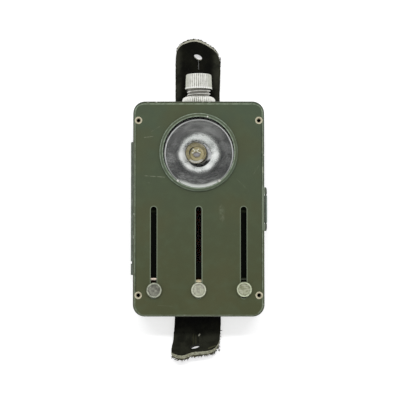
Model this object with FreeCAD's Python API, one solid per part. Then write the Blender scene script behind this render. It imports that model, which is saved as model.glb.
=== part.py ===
"""Flat military signal lamp lying on its back, in millimetres.

+Z points out of the lens, +Y to the press switch, +X to the latch side.
The origin is under the middle of the case, on the back of the leather strap.
"""
import FreeCAD, Part
import math
import os

os.makedirs("parts", exist_ok=True)
Vec = FreeCAD.Vector

# ---------------------------------------------------------------- driving dimensions
# case, door and the sheet they are pressed from
sheet = 0.8
case_width = 72.0
case_height = 118.0
case_corner = 6.5
fold = 1.6                   # outside radius of the folded edges
case_depth = 27.0
door_depth = 9.0
touch = 0.05                 # pieces that lie against each other and still move
running = 0.05               # radial clearance of a pin or rod in its hole
slack = 0.3                  # clearance between loose neighbours

# lens, bezel and reflector
lens_from_top = 28.2
bezel_r = 21.7
bezel_rise = 2.4
bezel_lip = 2.4
glass_thickness = 1.5
seal_thickness = 0.3
ring_thickness = 0.9
reflector_in_bezel = 2.8      # from the bezel's outside to the mirror's rim
reflector_sheet = 0.4
reflector_focus = 8.8
reflector_hole_r = 6.6
reflector_collar = 7.5

# bulb and its socket
globe_r = 5.7
globe_to_base = 6.8
base_r = 4.7
base_length = 9.7
bulb_insulator = 1.0
bulb_tip = 0.5
bulb_tip_r = 1.7
stem_r = 1.2
stem_above_base = 2.0
bead_r = 1.0
bead_length = 1.2
bead_below_globe = 2.8       # from the globe's centre down to the bead's foot
lead_spacing = 3.0
lead_wire = 0.4
lead_root = 1.0              # above the base's upper edge
filament_wire = 0.3
filament_above_globe = 1.3
socket_wall = 0.45
socket_flange = 1.6
insulator_wall = 2.6
leaf_sheet = 0.4

# sliders: plates, filters, knobs and slots
slot_from_side = 11.4        # from the case's side to the middle of an outer slot
key_width = 2.9
key_length = 8.0
key_clearance = 0.1
slot_end_gap = 0.15
knob_from_bottom = 14.2
knob_r = 4.2
knob_height = 3.0
knob_stem_r = 1.1
filter_above_knob = 34.1
filter_in_bezel = 2.7        # from the bezel's outside to the filter's rim
filter_rim = 1.6
slider_sheet = 0.8
slider_gap = 0.4
slider_air = 0.9             # free depth in front of and behind the three plates
arm_inward = 5.2
arm_outward = 3.2
arm_head = 8.7
arm_foot = 5.0
tail_width = 9.0
tail_overlap = 4.0
spring_width = 5.6
spring_length = 14.0
spring_sheet = 0.25

# guide pan and battery bay
lug_reach = 6.4
lug_length = 10.0
rivet_from_side = 3.0
rivet_from_top = 10.6
rivet_from_foot = 11.6
rivet_hole_r = 1.0
rivet_barrel_r = 1.35
rivet_flange_r = 2.05
rivet_flange = 0.35
battery_side_room = 5.0      # from the case's side to the battery
battery_mirror_gap = 1.3     # from the battery's head to the mirror's rim
battery_depth = 22.0
battery_corner = 3.0
terminal_above_back = 2.0
terminal_rise = 6.0
stop_width = 10.0
stop_inset = 3.3             # from the bay's side wall to the battery stop
frame_sheet = 1.1
frame_high = 6.0
frame_low = 3.5

# contact board behind the bulb
board_thickness = 1.6
board_clearance = 1.4
board_from_side = 7.0        # from the case's side to the board's edge
board_reach = 19.2
board_below = 16.8
post_r = 2.0
post_bore = 4.0
post_from_edge = 4.0         # from the board's edge to the middle of a post
post_above = 15.2
post_below = 10.8
screw_r = 2.6
screw_head = 0.9
screw_reach = 3.0            # into the post

# press switch
switch_behind_front = 18.0
neck_r = 6.5
neck_length = 12.5
neck_flange_r = 8.5
neck_flange = 1.2
nut_r = 9.45
nut_height = 4.7
cap_r = 7.8
cap_height = 9.0
cap_above_nut = 3.8
cap_wall = 0.95
cap_ceiling = 2.0
knurls = 40
knurl_depth = 0.3
rod_r = 2.0
rod_tip = 3.0
rod_inside = 13.1            # from the case's top edge down to the rod's tip
rod_stem_r = 1.5
rod_collar_r = 3.6
rod_collar = 1.0
press_travel = 2.3
spring_wire_r = 0.3
spring_coils = 6
pocket_r = 3.9
pocket_floor = 3.0
clip_r = 3.4
clip_thickness = 0.6
leaf_width = 8.0
leaf_above_rod = 4.0
leaf_pivot = 0.7
leaf_overtravel = 0.6        # of the lug beyond the press travel
lug_width = 6.0
strip_width = 6.0
strip_offset = 15.0

# hinge on the left, latch on the right
hinge_sheet = 0.5
barrel_r = 1.1
hinge_pin_r = 0.55
hinge_top = 38.5
hinge_upper = 19.6
hinge_lower = -28.7
hinge_gap = 1.4
hinge_bottom = -36.2
knuckle_gap = 0.15
hinge_leaf_height = 6.0
latch_pin_r = 0.45
latch_curl_r = 0.85
latch_sheet = 0.5
latch_pin_above_split = 10.0
latch_top = 12.0
latch_lever_top = 8.0
latch_lever_foot = -6.9
latch_foot = -11.8
latch_bracket_sheet = 0.4
latch_bracket_height = 10.0
catch_height = 0.4
catch_r = 0.6
catch_below_split = 4.8
lever_tip = 2.3

# leather strap and its rivets
strap_thickness = 3.0
strap_width = 25.0
strap_above_case = 39.0
strap_below_case = 24.0
top_bend_above_case = 16.0
top_bend_r = 42.0
bottom_bend_below_case = 5.0
bottom_bend_r = 22.9
strap_top_round = 12.5
strap_bottom_round = 7.0
buttonhole_r = 2.3
top_hole_from_end = 8.7
bottom_hole_from_end = 5.7
slit_width = 0.4
slit_length = 7.0
strap_rivet_spacing = 84.0
strap_rivet_r = 1.6
strap_rivet_head_r = 4.0
strap_rivet_head = 0.8
strap_rivet_sink = 0.2
washer_r = 4.5
washer_thickness = 0.6

# battery spring on the door
door_spring_width = 20.0
door_spring_length = 44.0
door_spring_foot = 8.0
door_spring_sheet = 0.5
door_spring_rivet_r = 1.2

# ---------------------------------------------------------------- levels and places
back = strap_thickness                       # outer face of the rear door
door_floor = back + sheet
split = back + door_depth                    # where the door meets the case
front = split + case_depth                   # outer face of the front
inside = front - sheet
half_width = case_width / 2
half_height = case_height / 2
lens_y = half_height - lens_from_top
lens_centre = Vec(0, lens_y, 0)

bezel_top = front + bezel_rise
reflector_r = bezel_r - reflector_in_bezel
filter_r = bezel_r - filter_in_bezel
bezel_inner_r = bezel_r - sheet
bezel_edge_r = bezel_r - bezel_lip
lip_back = bezel_top - sheet
seal_back = lip_back - seal_thickness
glass_back = seal_back - glass_thickness
ring_back = glass_back - ring_thickness

plate_pitch = slider_sheet + slider_gap
centre_plate = inside - slider_air           # front faces of the three plates
left_plate = centre_plate - plate_pitch
right_plate = left_plate - plate_pitch
pan_face = right_plate - slider_sheet - slider_air
pan_back = pan_face - sheet
frame_inner_x = half_width - sheet - frame_sheet
frame_inner_y = half_height - sheet - frame_sheet
lug_inner_x = half_width - sheet - lug_reach
battery_half = half_width - battery_side_room
flange_x = battery_half + slack
board_half = half_width - board_from_side
post_x = board_half - post_from_edge
slot_spacing = half_width - slot_from_side

knob_y = knob_from_bottom - half_height
filter_y = knob_y + filter_above_knob
travel = lens_y - filter_y
slot_width = key_width + 2 * key_clearance
slot_foot = knob_y - key_length / 2 - slot_end_gap
slot_head = knob_y + travel + key_length / 2 + 2 * slot_end_gap

rim_z = pan_face - 0.2
rim_outer_r = reflector_r + reflector_sheet
pan_hole_r = rim_outer_r + 0.2
bowl_z = rim_z - reflector_r ** 2 / (4 * reflector_focus)
globe_z = rim_z - globe_r
base_top = globe_z - globe_to_base
base_foot = base_top - base_length
tip_z = base_foot - bulb_insulator - bulb_tip
socket_r = base_r + running + socket_wall
socket_foot = base_foot - slack
board_back = door_floor + board_clearance
board_face = board_back + board_thickness

battery_foot = -frame_inner_y + slack
battery_head = lens_y - rim_outer_r - battery_mirror_gap
battery_front = pan_back - slack
battery_back = battery_front - battery_depth
board_foot = lens_y - board_below
board_head = lens_y + board_reach

switch_z = front - switch_behind_front
wall_in = half_height - sheet
rod_tip_y = half_height - rod_inside - 0.8
leaf_y = rod_tip_y - 2 * touch               # face of the leaf that the rod pushes
pivot_z = board_face + leaf_pivot
nut_top = half_height + nut_height
cap_foot = nut_top + cap_above_nut
cap_top = cap_foot + cap_height
cap_inner_top = cap_top - cap_ceiling
neck_top = half_height + neck_length
pocket_y = half_height + pocket_floor

strap_top = half_height + strap_above_case
strap_bottom = -half_height - strap_below_case
top_bend_start = half_height + top_bend_above_case
bottom_bend_start = -half_height - bottom_bend_below_case

hinge_x = -half_width - barrel_r - 0.15
latch_x = half_width + latch_bracket_sheet + latch_curl_r + 0.15
latch_z = split + latch_pin_above_split
catch_z = split - catch_below_split


# ---------------------------------------------------------------- shape helpers
def block(x_low, x_high, y_low, y_high, z_low, z_high):
    """Box between its low and high faces."""
    return Part.makeBox(x_high - x_low, y_high - y_low, z_high - z_low, Vec(x_low, y_low, z_low))


def disc(radius, z_low, z_high, x=0.0, y=0.0):
    """Cylinder along Z between two heights."""
    return Part.makeCylinder(radius, z_high - z_low, Vec(x, y, z_low))


def rod(radius, y_low, y_high, x=0.0, z=0.0):
    """Cylinder along Y between two ends."""
    return Part.makeCylinder(radius, y_high - y_low, Vec(x, y_low, z), Vec(0, 1, 0))


def join(solids):
    """One clean solid from touching or overlapping ones."""
    return solids[0].multiFuse(solids[1:]).removeSplitter()


def mirror_x(solid):
    """The same piece on the other side of the lamp's middle plane."""
    return solid.mirror(Vec(0, 0, 0), Vec(1, 0, 0))


def drum(profile, centre, axis=Vec(0, 0, 1)):
    """Solid of revolution; the profile lists (radius, distance along the axis)."""
    points = [Vec(r, 0, h) for r, h in profile]
    wire = Part.makePolygon(points + points[:1])
    solid = Part.Face(wire).revolve(Vec(0, 0, 0), Vec(0, 0, 1), 360)
    solid.Placement = FreeCAD.Placement(centre, FreeCAD.Rotation(Vec(0, 0, 1), axis))
    return solid


def soften(solid, radius, wanted):
    """Fillet of the edges for which wanted(edge) is true."""
    return solid.makeFillet(radius, [e for e in solid.Edges if wanted(e)])


def level(height):
    """Test for an edge that lies wholly at one height."""
    def test(edge):
        box = edge.BoundBox
        return abs(box.ZMin - height) < 1e-4 and abs(box.ZMax - height) < 1e-4
    return test


def upright(edge):
    """Test for a straight edge along Z."""
    box = edge.BoundBox
    return box.XLength < 1e-4 and box.YLength < 1e-4


def rounded_block(width, height, corner, z_low, z_high):
    """Block centred on the lamp's axis with its four upright edges rounded."""
    solid = block(-width / 2, width / 2, -height / 2, height / 2, z_low, z_high)
    return soften(solid, corner, upright)


def cavity(z_open, z_closed):
    """Space inside a drawn tray whose inner floor is at z_closed."""
    low, high = sorted((z_open, z_closed))
    solid = rounded_block(case_width - 2 * sheet, case_height - 2 * sheet, case_corner - sheet, low, high)
    return soften(solid, fold - sheet, level(z_closed))


def tray(z_open, z_closed):
    """Drawn sheet tray with its closed side at z_closed."""
    low, high = sorted((z_open, z_closed))
    outer = soften(rounded_block(case_width, case_height, case_corner, low, high), fold, level(z_closed))
    floor = z_closed - sheet if z_closed > z_open else z_closed + sheet
    return outer.cut(cavity(z_open, floor))


def slot(x, width, y_low, y_high, z_low, z_high):
    """Straight slot with slightly rounded ends."""
    solid = block(x - width / 2, x + width / 2, y_low, y_high, z_low, z_high)
    return soften(solid, width / 6, upright)


# ---------------------------------------------------------------- case
def bezel():
    """Raised round rim pressed out of the front, with a lip that holds the glass."""
    height = bezel_top - inside
    return drum([(bezel_inner_r, 0), (bezel_r, 0), (bezel_r, height - sheet),
                 (bezel_r - 0.3 * sheet, height - 0.3 * sheet), (bezel_r - sheet, height),
                 (bezel_edge_r, height), (bezel_edge_r, height - sheet), (bezel_inner_r, height - sheet)],
                Vec(0, lens_y, inside))


def front_case():
    """Front tray with bezel, three slots, rivet holes and the switch hole."""
    shell = tray(split, front).cut(disc(bezel_inner_r, inside - 1, front + 1, 0, lens_y))
    shell = join([shell, bezel()])
    for x in (-slot_spacing, 0, slot_spacing):
        shell = shell.cut(slot(x, slot_width, slot_foot, slot_head, inside - 1, front + 1))
    for x, y in rivet_places():
        shell = shell.cut(disc(rivet_barrel_r, inside - 1, front + 1, x, y))
    return shell.cut(rod(neck_r, wall_in - 1, half_height + 1, 0, switch_z))


def closing_frame():
    """Stepped frame inside the case; its lower lip stands inside the closed door."""
    shift = 2 * slack
    upper = cavity(split, inside).common(block(-case_width, case_width, -case_height, case_height,
                                               split, split + frame_high))
    lower = rounded_block(case_width - 2 * sheet - shift, case_height - 2 * sheet - shift,
                          case_corner - sheet - slack, split - frame_low, split)
    hollow = rounded_block(2 * frame_inner_x, 2 * frame_inner_y, case_corner - sheet - frame_sheet,
                           split - frame_low - 1, split + frame_high + 1)
    ring = join([upper, lower]).cut(hollow)
    return ring.cut(rod(neck_flange_r + slack, 0, case_height, 0, switch_z))


def rivet_places():
    """Centres of the four tubular rivets near the corners of the front."""
    x = half_width - rivet_from_side
    y_top, y_foot = half_height - rivet_from_top, rivet_from_foot - half_height
    return [(x, y_top), (-x, y_top), (x, y_foot), (-x, y_foot)]


def corner_rivets():
    """Tubular rivets that clamp the guide pan's lugs to the front."""
    lug_back = inside - sheet
    rivets = []
    for x, y in rivet_places():
        inner_r = rivet_flange_r - 0.2
        rivets.append(drum([(rivet_hole_r, lug_back - rivet_flange), (inner_r, lug_back - rivet_flange),
                            (inner_r, lug_back), (rivet_barrel_r, lug_back),
                            (rivet_barrel_r, front), (rivet_flange_r, front),
                            (rivet_flange_r - 0.4, front + rivet_flange),
                            (rivet_hole_r + 0.25, front + rivet_flange),
                            (rivet_hole_r, front + 0.4 * rivet_flange)], Vec(x, y, 0)))
    return Part.makeCompound(rivets)


def pan_lug(y):
    """Corner lug: a riser from the pan and a foot flat against the front."""
    riser = block(lug_inner_x, lug_inner_x + sheet, y - lug_length / 2, y + lug_length / 2, pan_back, inside)
    foot = block(lug_inner_x, half_width, y - lug_length / 2, y + lug_length / 2, inside - sheet, inside)
    holes = [disc(rivet_barrel_r, pan_face, front, x, yy) for x, yy in rivet_places()]
    return join([riser, foot.common(cavity(split, inside))]).cut(Part.makeCompound(holes))


def guide_pan():
    """Inner chassis: lens hole, corner lugs, battery bay walls and battery stops."""
    base_x, base_y = flange_x + sheet, frame_inner_y - 0.1
    base = block(-base_x, base_x, -base_y, base_y, pan_back, pan_face)
    base = soften(base, case_corner - 2 * sheet - slack, upright)
    base = base.cut(disc(pan_hole_r, pan_back - 1, pan_face + 1, 0, lens_y))
    side = block(flange_x, base_x, battery_foot + 1, battery_head - 1, battery_back, pan_back)
    stop_x = flange_x - stop_inset
    stop = block(stop_x - stop_width, stop_x, battery_head + slack, battery_head + slack + sheet,
                 battery_front - battery_depth / 2, pan_back)
    pieces = [base, side, mirror_x(side), stop, mirror_x(stop)]
    for y in (rivet_places()[0][1], rivet_places()[2][1]):
        lug = pan_lug(y)
        pieces += [lug, mirror_x(lug)]
    return join(pieces)


# ---------------------------------------------------------------- lens, reflector, bulb
def lens_glass():
    """Flat round window with a small bevel."""
    edge_r, bevel = bezel_inner_r - slack, 0.25
    return drum([(0, glass_back), (edge_r, glass_back), (edge_r, seal_back - bevel),
                 (edge_r - bevel, seal_back), (0, seal_back)], lens_centre)


def lens_seal():
    """Thin packing ring between the lip and the glass."""
    outer = bezel_inner_r - touch
    return disc(outer, seal_back, lip_back, 0, lens_y).cut(
        disc(bezel_edge_r + 0.4, seal_back - 1, lip_back + 1, 0, lens_y))


def lens_retaining_ring():
    """Spring ring behind the glass with three tabs that show at the lip's edge."""
    ring = disc(bezel_inner_r, ring_back, glass_back, 0, lens_y).cut(
        disc(bezel_inner_r - 1.3, ring_back - 1, glass_back + 1, 0, lens_y))
    tab = block(bezel_edge_r - 0.5, bezel_inner_r - 0.8, -0.9, 0.9, ring_back, glass_back)
    tabs = []
    for angle in (-54, -126, 76):
        copy = tab.copy()
        copy.rotate(Vec(0, 0, 0), Vec(0, 0, 1), angle)
        copy.translate(Vec(0, lens_y, 0))
        tabs.append(copy)
    return join([ring] + tabs)


def bowl_height(radius):
    """Height of the reflector's mirror face at a radius from the lens axis."""
    return bowl_z + radius ** 2 / (4 * reflector_focus)


def bowl_bands(bands, outward=0.0, drop=0.0):
    """Points of the parabola from the hole to the rim, in equal bands."""
    width = (reflector_r - reflector_hole_r) / bands
    radii = [reflector_hole_r + width * i for i in range(bands + 1)]
    return [(r + outward, bowl_height(r) - drop) for r in radii]


def reflector():
    """Spun parabolic bowl with a rim flange on the pan and a collar round the bulb."""
    flange_r, flange_z = pan_hole_r + 2.0, pan_face + reflector_sheet
    collar_foot = bowl_height(reflector_hole_r) - reflector_collar
    face = bowl_bands(4)
    rim = [(reflector_r, flange_z), (flange_r, flange_z), (flange_r, pan_face), (rim_outer_r, pan_face)]
    behind = bowl_bands(2, reflector_sheet, 0.1)[::-1]
    collar = [(reflector_hole_r + reflector_sheet, collar_foot), (reflector_hole_r, collar_foot)]
    return drum(face + rim + behind + collar, lens_centre)


def bulb_glass():
    """Hollow round globe on a short neck."""
    wall = 0.4
    neck = base_r - 0.6

    def skin(ball_r, neck_r, bands):
        waist = math.asin(neck_r / ball_r)
        angles = [waist + (math.pi - waist) * i / bands for i in range(bands)]
        return [(neck_r, base_top)] + [(ball_r * math.sin(a), globe_z - ball_r * math.cos(a)) for a in angles]

    outer = skin(globe_r, neck, 6) + [(0, globe_z + globe_r)]
    inner = skin(globe_r - wall, neck - wall, 4) + [(0, globe_z + globe_r - wall)]
    return drum(outer + inner[::-1], lens_centre)


def bulb_base():
    """Brass screw shell of the bulb, closed round the glass neck."""
    shell = drum([(base_r - 0.4, base_foot), (base_r, base_foot + 0.6), (base_r, base_top - 0.4),
                  (base_r - 0.4, base_top), (base_r - 1.0, base_top),
                  (base_r - 1.0, base_foot + 0.6), (1.0, base_foot + 0.6), (1.0, base_foot)], lens_centre)
    return shell


def bulb_insulator_ring():
    """Black glass bead between shell and tip contact."""
    return drum([(0, base_foot - bulb_insulator), (bulb_tip_r + 0.7, base_foot - bulb_insulator),
                 (base_r - 0.5, base_foot), (0, base_foot)], lens_centre)


def bulb_tip_contact():
    """Rounded solder contact at the foot of the bulb."""
    top = base_foot - bulb_insulator
    return drum([(0, tip_z), (bulb_tip_r - 0.7, tip_z), (bulb_tip_r, top - 0.15), (bulb_tip_r, top), (0, top)],
                lens_centre)


def bulb_filament():
    """Stem, bead, two lead wires and the filament between them."""
    half = lead_spacing / 2
    root_z, bead_z, coil_z = base_top + lead_root, globe_z - bead_below_globe, globe_z + filament_above_globe
    cross_z = bead_z + (bead_length - lead_wire) / 2
    stem = disc(stem_r, base_foot + 0.6, base_top + stem_above_base, 0, lens_y)
    bead = disc(bead_r, bead_z, bead_z + bead_length, 0, lens_y)

    def wire(x_low, x_high, z_low, z_high, thick):
        return block(x_low, x_high, lens_y - thick / 2, lens_y + thick / 2, z_low, z_high)

    leads = [wire(x - lead_wire / 2, x + lead_wire / 2, root_z, coil_z + lead_wire, lead_wire)
             for x in (-half, half)]
    cross = wire(-half, half, cross_z, cross_z + lead_wire, lead_wire)
    coil = wire(-half, half, coil_z, coil_z + filament_wire, filament_wire)
    link = wire(-half, half, root_z, root_z + 1.5 * lead_wire, 2 * lead_wire)
    return join([stem, bead, cross, coil, link] + leads)


def bulb_socket():
    """Brass socket tube with a flange and the upright lug that the switch leaf meets."""
    inner = base_r + running
    tube = disc(socket_r, socket_foot, base_top, 0, lens_y)
    flange = disc(socket_r + socket_flange, socket_foot, socket_foot + leaf_sheet, 0, lens_y)
    lug_y = leaf_y - leaf_sheet - press_travel - leaf_overtravel
    arm = block(-lug_width / 2, lug_width / 2, lens_y + socket_r, lug_y, socket_foot, socket_foot + leaf_sheet)
    lug_top = switch_z + leaf_above_rod - 1.0
    post = block(-lug_width / 2, lug_width / 2, lug_y - leaf_sheet, lug_y, socket_foot, lug_top)
    solid = join([tube, flange, arm, post])
    return solid.cut(disc(inner, socket_foot - 1, base_top + 1, 0, lens_y))


def socket_insulator():
    """Moulded ring that carries the socket on the board, open for the bulb's contact leaf."""
    ring_r, half_gate = socket_r + insulator_wall, strip_width / 2 + slack
    ring = disc(ring_r, board_face, socket_foot, 0, lens_y).cut(
        disc(base_r + 0.6, board_face - 1, socket_foot + 1, 0, lens_y))
    gate = block(-half_gate, half_gate, lens_y - 2 * ring_r, lens_y, board_face - 1, socket_foot + 1)
    return ring.cut(gate)


def contact_strip(side, y_low, y_high):
    """Strip on the board with a tongue that meets one of the battery's strips."""
    x = side * strip_offset
    low, high = x - strip_width / 2, x + strip_width / 2
    flat = block(low, high, y_low, y_high, board_face, board_face + leaf_sheet)
    tongue_top = terminal_z() - touch
    tongue = block(low, high, y_low - leaf_sheet, y_low, board_face, tongue_top)
    return [flat, tongue]


def bulb_contact_leaf():
    """Left battery contact, cross strip and the sprung leaf under the bulb."""
    y_low, y_high = board_foot + 0.4, board_foot + 0.4 + strip_width
    pieces = contact_strip(-1, y_low, y_high)
    flat = board_face + leaf_sheet
    pieces.append(block(-strip_offset, strip_width / 2, y_low, y_high, board_face, flat))
    leaf_top = tip_z - touch
    riser_y = y_high - leaf_sheet
    half = strip_width / 2 - 0.5
    pieces.append(block(-half, half, riser_y, riser_y + leaf_sheet, board_face, leaf_top))
    pieces.append(block(-half, half, riser_y, lens_y + 2.0, leaf_top - leaf_sheet, leaf_top))
    return join(pieces)


def switch_contact_strip():
    """Right battery contact and the strip that feeds the switch leaf's foot."""
    y_low = board_foot + 0.4
    foot_low, foot_high = leaf_y - leaf_sheet, board_head - 1.0
    pieces = contact_strip(1, y_low, foot_high)
    flat = board_face + leaf_sheet
    pieces.append(block(-leaf_width / 2, strip_offset, foot_low, foot_high, board_face, flat))
    return join(pieces)


def contact_board():
    """Insulating board with its four screw holes."""
    board = block(-board_half, board_half, board_foot, board_head, board_back, board_face)
    board = soften(board, 3.0, upright)
    for x, y in post_places():
        board = board.cut(disc(post_r / 2, board_back - 1, board_face + 1, x, y))
    return board


def post_places():
    """Centres of the four posts between the pan and the board."""
    rows = (lens_y + post_above, lens_y - post_below)
    return [(side * post_x, y) for y in rows for side in (-1, 1)]


def board_posts():
    """Turned posts that hold the board behind the pan."""
    posts = []
    for x, y in post_places():
        post = disc(post_r, board_face, pan_back, x, y)
        posts.append(post.cut(disc(post_r / 2, board_face - 1, board_face + post_bore, x, y)))
    return Part.makeCompound(posts)


def board_screws():
    """Round-head screws through the board into the posts."""
    screws = []
    for x, y in post_places():
        low = board_back - screw_head
        head = drum([(0, low), (screw_r - 0.7, low), (screw_r - 0.1, low + 0.4), (screw_r, board_back),
                     (0, board_back)], Vec(x, y, 0))
        cross = block(x - screw_r, x + screw_r, y - 0.3, y + 0.3, board_back - screw_head - 1,
                      board_back - screw_head + 0.4)
        screws.append(join([head.cut(cross), disc(post_r / 2, board_back, board_face + screw_reach, x, y)]))
    return Part.makeCompound(screws)


# ---------------------------------------------------------------- battery
def terminal_z():
    """Height of the underside of the battery's two strips."""
    return battery_back + terminal_above_back


def battery():
    """Flat battery in its wrapper."""
    solid = block(-battery_half, battery_half, battery_foot, battery_head, battery_back, battery_front)
    along = lambda e: e.BoundBox.XLength < 1e-4 and e.BoundBox.ZLength < 1e-4
    return soften(solid, battery_corner, along)


def battery_terminals():
    """Two springy brass strips folded out of the battery's end."""
    strips = []
    reach = board_foot + 0.4
    for side in (-1, 1):
        x, foot = side * strip_offset, terminal_z()
        low, high = x - strip_width / 2, x + strip_width / 2
        flat = block(low, high, battery_head, reach, foot, foot + leaf_sheet)
        upstand = block(low, high, battery_head, battery_head + leaf_sheet, foot, foot + terminal_rise)
        strips.append(join([flat, upstand]))
    return Part.makeCompound(strips)


# ---------------------------------------------------------------- sliders
def filter_frame(plate_face, side):
    """Plate with a round window and an arm (side -1 or 1) or a tail (side 0) to its knob."""
    plate_back = plate_face - slider_sheet
    rim_r = filter_r + filter_rim
    pieces = [disc(rim_r, plate_back, plate_face, 0, filter_y)]
    if side:
        inner, outer = slot_spacing - arm_inward, slot_spacing + arm_outward
        web = block(rim_r / 2, outer, filter_y - rim_r, filter_y + arm_head, plate_back, plate_face)
        arm = block(inner, outer, knob_y - arm_foot, filter_y + arm_head, plate_back, plate_face)
        arm = soften(arm, 1.5, lambda e: upright(e) and e.BoundBox.XMin > slot_spacing)
        pieces += [web, arm] if side > 0 else [mirror_x(web), mirror_x(arm)]
    else:
        pieces.append(block(-tail_width / 2, tail_width / 2, knob_y - arm_foot,
                            filter_y - rim_r + tail_overlap, plate_back, plate_face))
    x = side * slot_spacing
    plate = join(pieces).cut(disc(filter_r, plate_back - 1, plate_face + 1, 0, filter_y))
    return plate.cut(disc(knob_stem_r, plate_back - 1, plate_face + 1, x, knob_y))


def filter_disc(plate_face):
    """Round coloured filter set in the plate's window."""
    return disc(filter_r, plate_face - slider_sheet, plate_face, 0, filter_y)


def knob(plate_face, x):
    """Pressed knob with its guide key in the slot and a stem peened through the plate."""
    head_foot = front + slack
    head = drum([(0, head_foot), (knob_r - 0.5, head_foot), (knob_r, head_foot + 0.5),
                 (knob_r, head_foot + knob_height - 0.7), (knob_r - 0.15, head_foot + knob_height - 0.3),
                 (knob_r - 0.5, head_foot + knob_height), (knob_r - 1.1, head_foot + knob_height),
                 (knob_r - 1.4, head_foot + knob_height - 0.2), (0, head_foot + knob_height - 0.2)],
                Vec(x, knob_y, 0))
    key = block(x - key_width / 2, x + key_width / 2, knob_y - key_length / 2, knob_y + key_length / 2,
                plate_face, head_foot)
    key = soften(key, key_width / 6, upright)
    stem = disc(knob_stem_r, plate_face - slider_sheet - 0.3, plate_face, x, knob_y)
    return join([head, key, stem])


def friction_spring(plate_face, x):
    """Bowed strip between the plate and the front; it holds the slider where it is put."""
    top = inside - touch
    half, foot = spring_length / 2, key_length / 2 + 1.0
    rise = top - spring_sheet - plate_face
    if rise < spring_sheet:
        rise = 0.0
    flat = [Vec(0, -foot, plate_face), Vec(0, foot, plate_face), Vec(0, half - 1.0, plate_face + rise),
            Vec(0, half, plate_face + rise)]
    lower = [Vec(0, -half, plate_face + rise), Vec(0, 1.0 - half, plate_face + rise)] + flat
    upper = [p + Vec(0, 0, spring_sheet) for p in reversed(lower)]
    strip = Part.Face(Part.makePolygon(lower + upper + lower[:1])).extrude(Vec(spring_width, 0, 0))
    strip.translate(Vec(x - spring_width / 2, knob_y, 0))
    hole = block(x - slot_width / 2, x + slot_width / 2, knob_y - key_length / 2 - key_clearance,
                 knob_y + key_length / 2 + key_clearance, plate_face - 1, inside)
    return strip.cut(hole)


# ---------------------------------------------------------------- press switch
def knurled(radius, y_low, y_high, depth):
    """Upright knurled bar along Y through the switch axis."""
    points = []
    for i in range(2 * knurls):
        angle = math.pi * i / knurls
        r = radius if i % 2 else radius - depth
        points.append(Vec(r * math.sin(angle), y_low, switch_z + r * math.cos(angle)))
    return Part.Face(Part.makePolygon(points + points[:1])).extrude(Vec(0, y_high - y_low, 0))


def switch_drum(profile):
    """Solid turned about the switch axis; distances are measured from the case's top edge."""
    return drum(profile, Vec(0, half_height, switch_z), Vec(0, 1, 0))


def switch_bushing():
    """Neck through the top wall, with a flange inside the case and a pocket for the spring."""
    neck = neck_top - half_height
    inner = -sheet - neck_flange
    return switch_drum([(rod_r + running, inner), (neck_flange_r, inner), (neck_flange_r, -sheet),
                        (neck_r, -sheet), (neck_r, neck - 0.5), (neck_r - 0.5, neck), (pocket_r, neck),
                        (pocket_r, pocket_floor), (rod_r + running, pocket_floor)])


def switch_collar():
    """Knurled nut with a rounded shoulder that clamps the bushing to the case."""
    top, band = nut_height, nut_height - 1.6
    plain_r = nut_r - knurl_depth
    dome = switch_drum([(neck_r, 0), (plain_r, 0), (plain_r, band + 0.5), (plain_r - 0.6, band + 1.2),
                        (plain_r - 1.6, top), (neck_r, top)])
    ribs = knurled(nut_r, half_height, half_height + band, knurl_depth).cut(
        rod(neck_r + 0.5, half_height - 1, nut_top, 0, switch_z))
    return join([dome, ribs])


def switch_cap():
    """Knurled push cap that hangs over the neck, with a rounded top."""
    foot, top = cap_foot - half_height, cap_top - half_height
    plain_r = cap_r - knurl_depth
    inner_r = cap_r - cap_wall
    ceiling = top - cap_ceiling
    hub_r = rod_stem_r + running
    sink_r, sink = hub_r + 1.1, 0.8
    body = switch_drum([(inner_r, foot), (plain_r, foot), (plain_r, top - 1.1), (plain_r - 0.4, top - 0.4),
                        (plain_r - 1.3, top), (sink_r, top), (sink_r, top - sink), (hub_r, top - sink),
                        (hub_r, ceiling), (inner_r, ceiling)])
    ribs = knurled(cap_r, cap_foot, cap_top - 1.4, knurl_depth).cut(
        rod(inner_r + 0.3, cap_foot - 1, cap_top, 0, switch_z))
    return join([body, ribs])


def switch_plunger():
    """Rod with a domed tip, a spring collar and a peened head in the cap's recess."""
    collar_top = cap_inner_top - touch
    shaft = rod(rod_r, rod_tip_y + rod_tip / 2, collar_top, 0, switch_z)
    dome = Part.makeSphere(rod_tip, Vec(0, rod_tip_y + rod_tip, switch_z))
    dome = dome.common(rod(rod_r, rod_tip_y - 1, rod_tip_y + rod_tip, 0, switch_z))
    collar = rod(rod_collar_r, collar_top - rod_collar, collar_top, 0, switch_z)
    stem = rod(rod_stem_r, collar_top, cap_top - 0.3, 0, switch_z)
    head = rod(rod_stem_r + 0.9, cap_top - 0.8 + touch, cap_top - 0.3, 0, switch_z)
    groove = rod(rod_r + 1, clip_y() - clip_thickness, clip_y(), 0, switch_z).cut(
        rod(rod_r - 0.4, clip_y() - 1, clip_y() + 1, 0, switch_z))
    return join([shaft, dome, collar, stem, head]).cut(groove)


def clip_y():
    """Upper face of the clip, just under the bushing's flange."""
    return wall_in - neck_flange - 2 * touch


def plunger_clip():
    """Open ring in the rod's groove; it stops the rod from coming out."""
    ring = rod(clip_r, clip_y() - clip_thickness, clip_y(), 0, switch_z).cut(
        rod(rod_r - 0.4, clip_y() - 1, clip_y() + 1, 0, switch_z))
    gap = block(-rod_r * 0.7, rod_r * 0.7, clip_y() - 1, clip_y() + 1, switch_z - clip_r - 1, switch_z)
    return ring.cut(gap)


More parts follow.
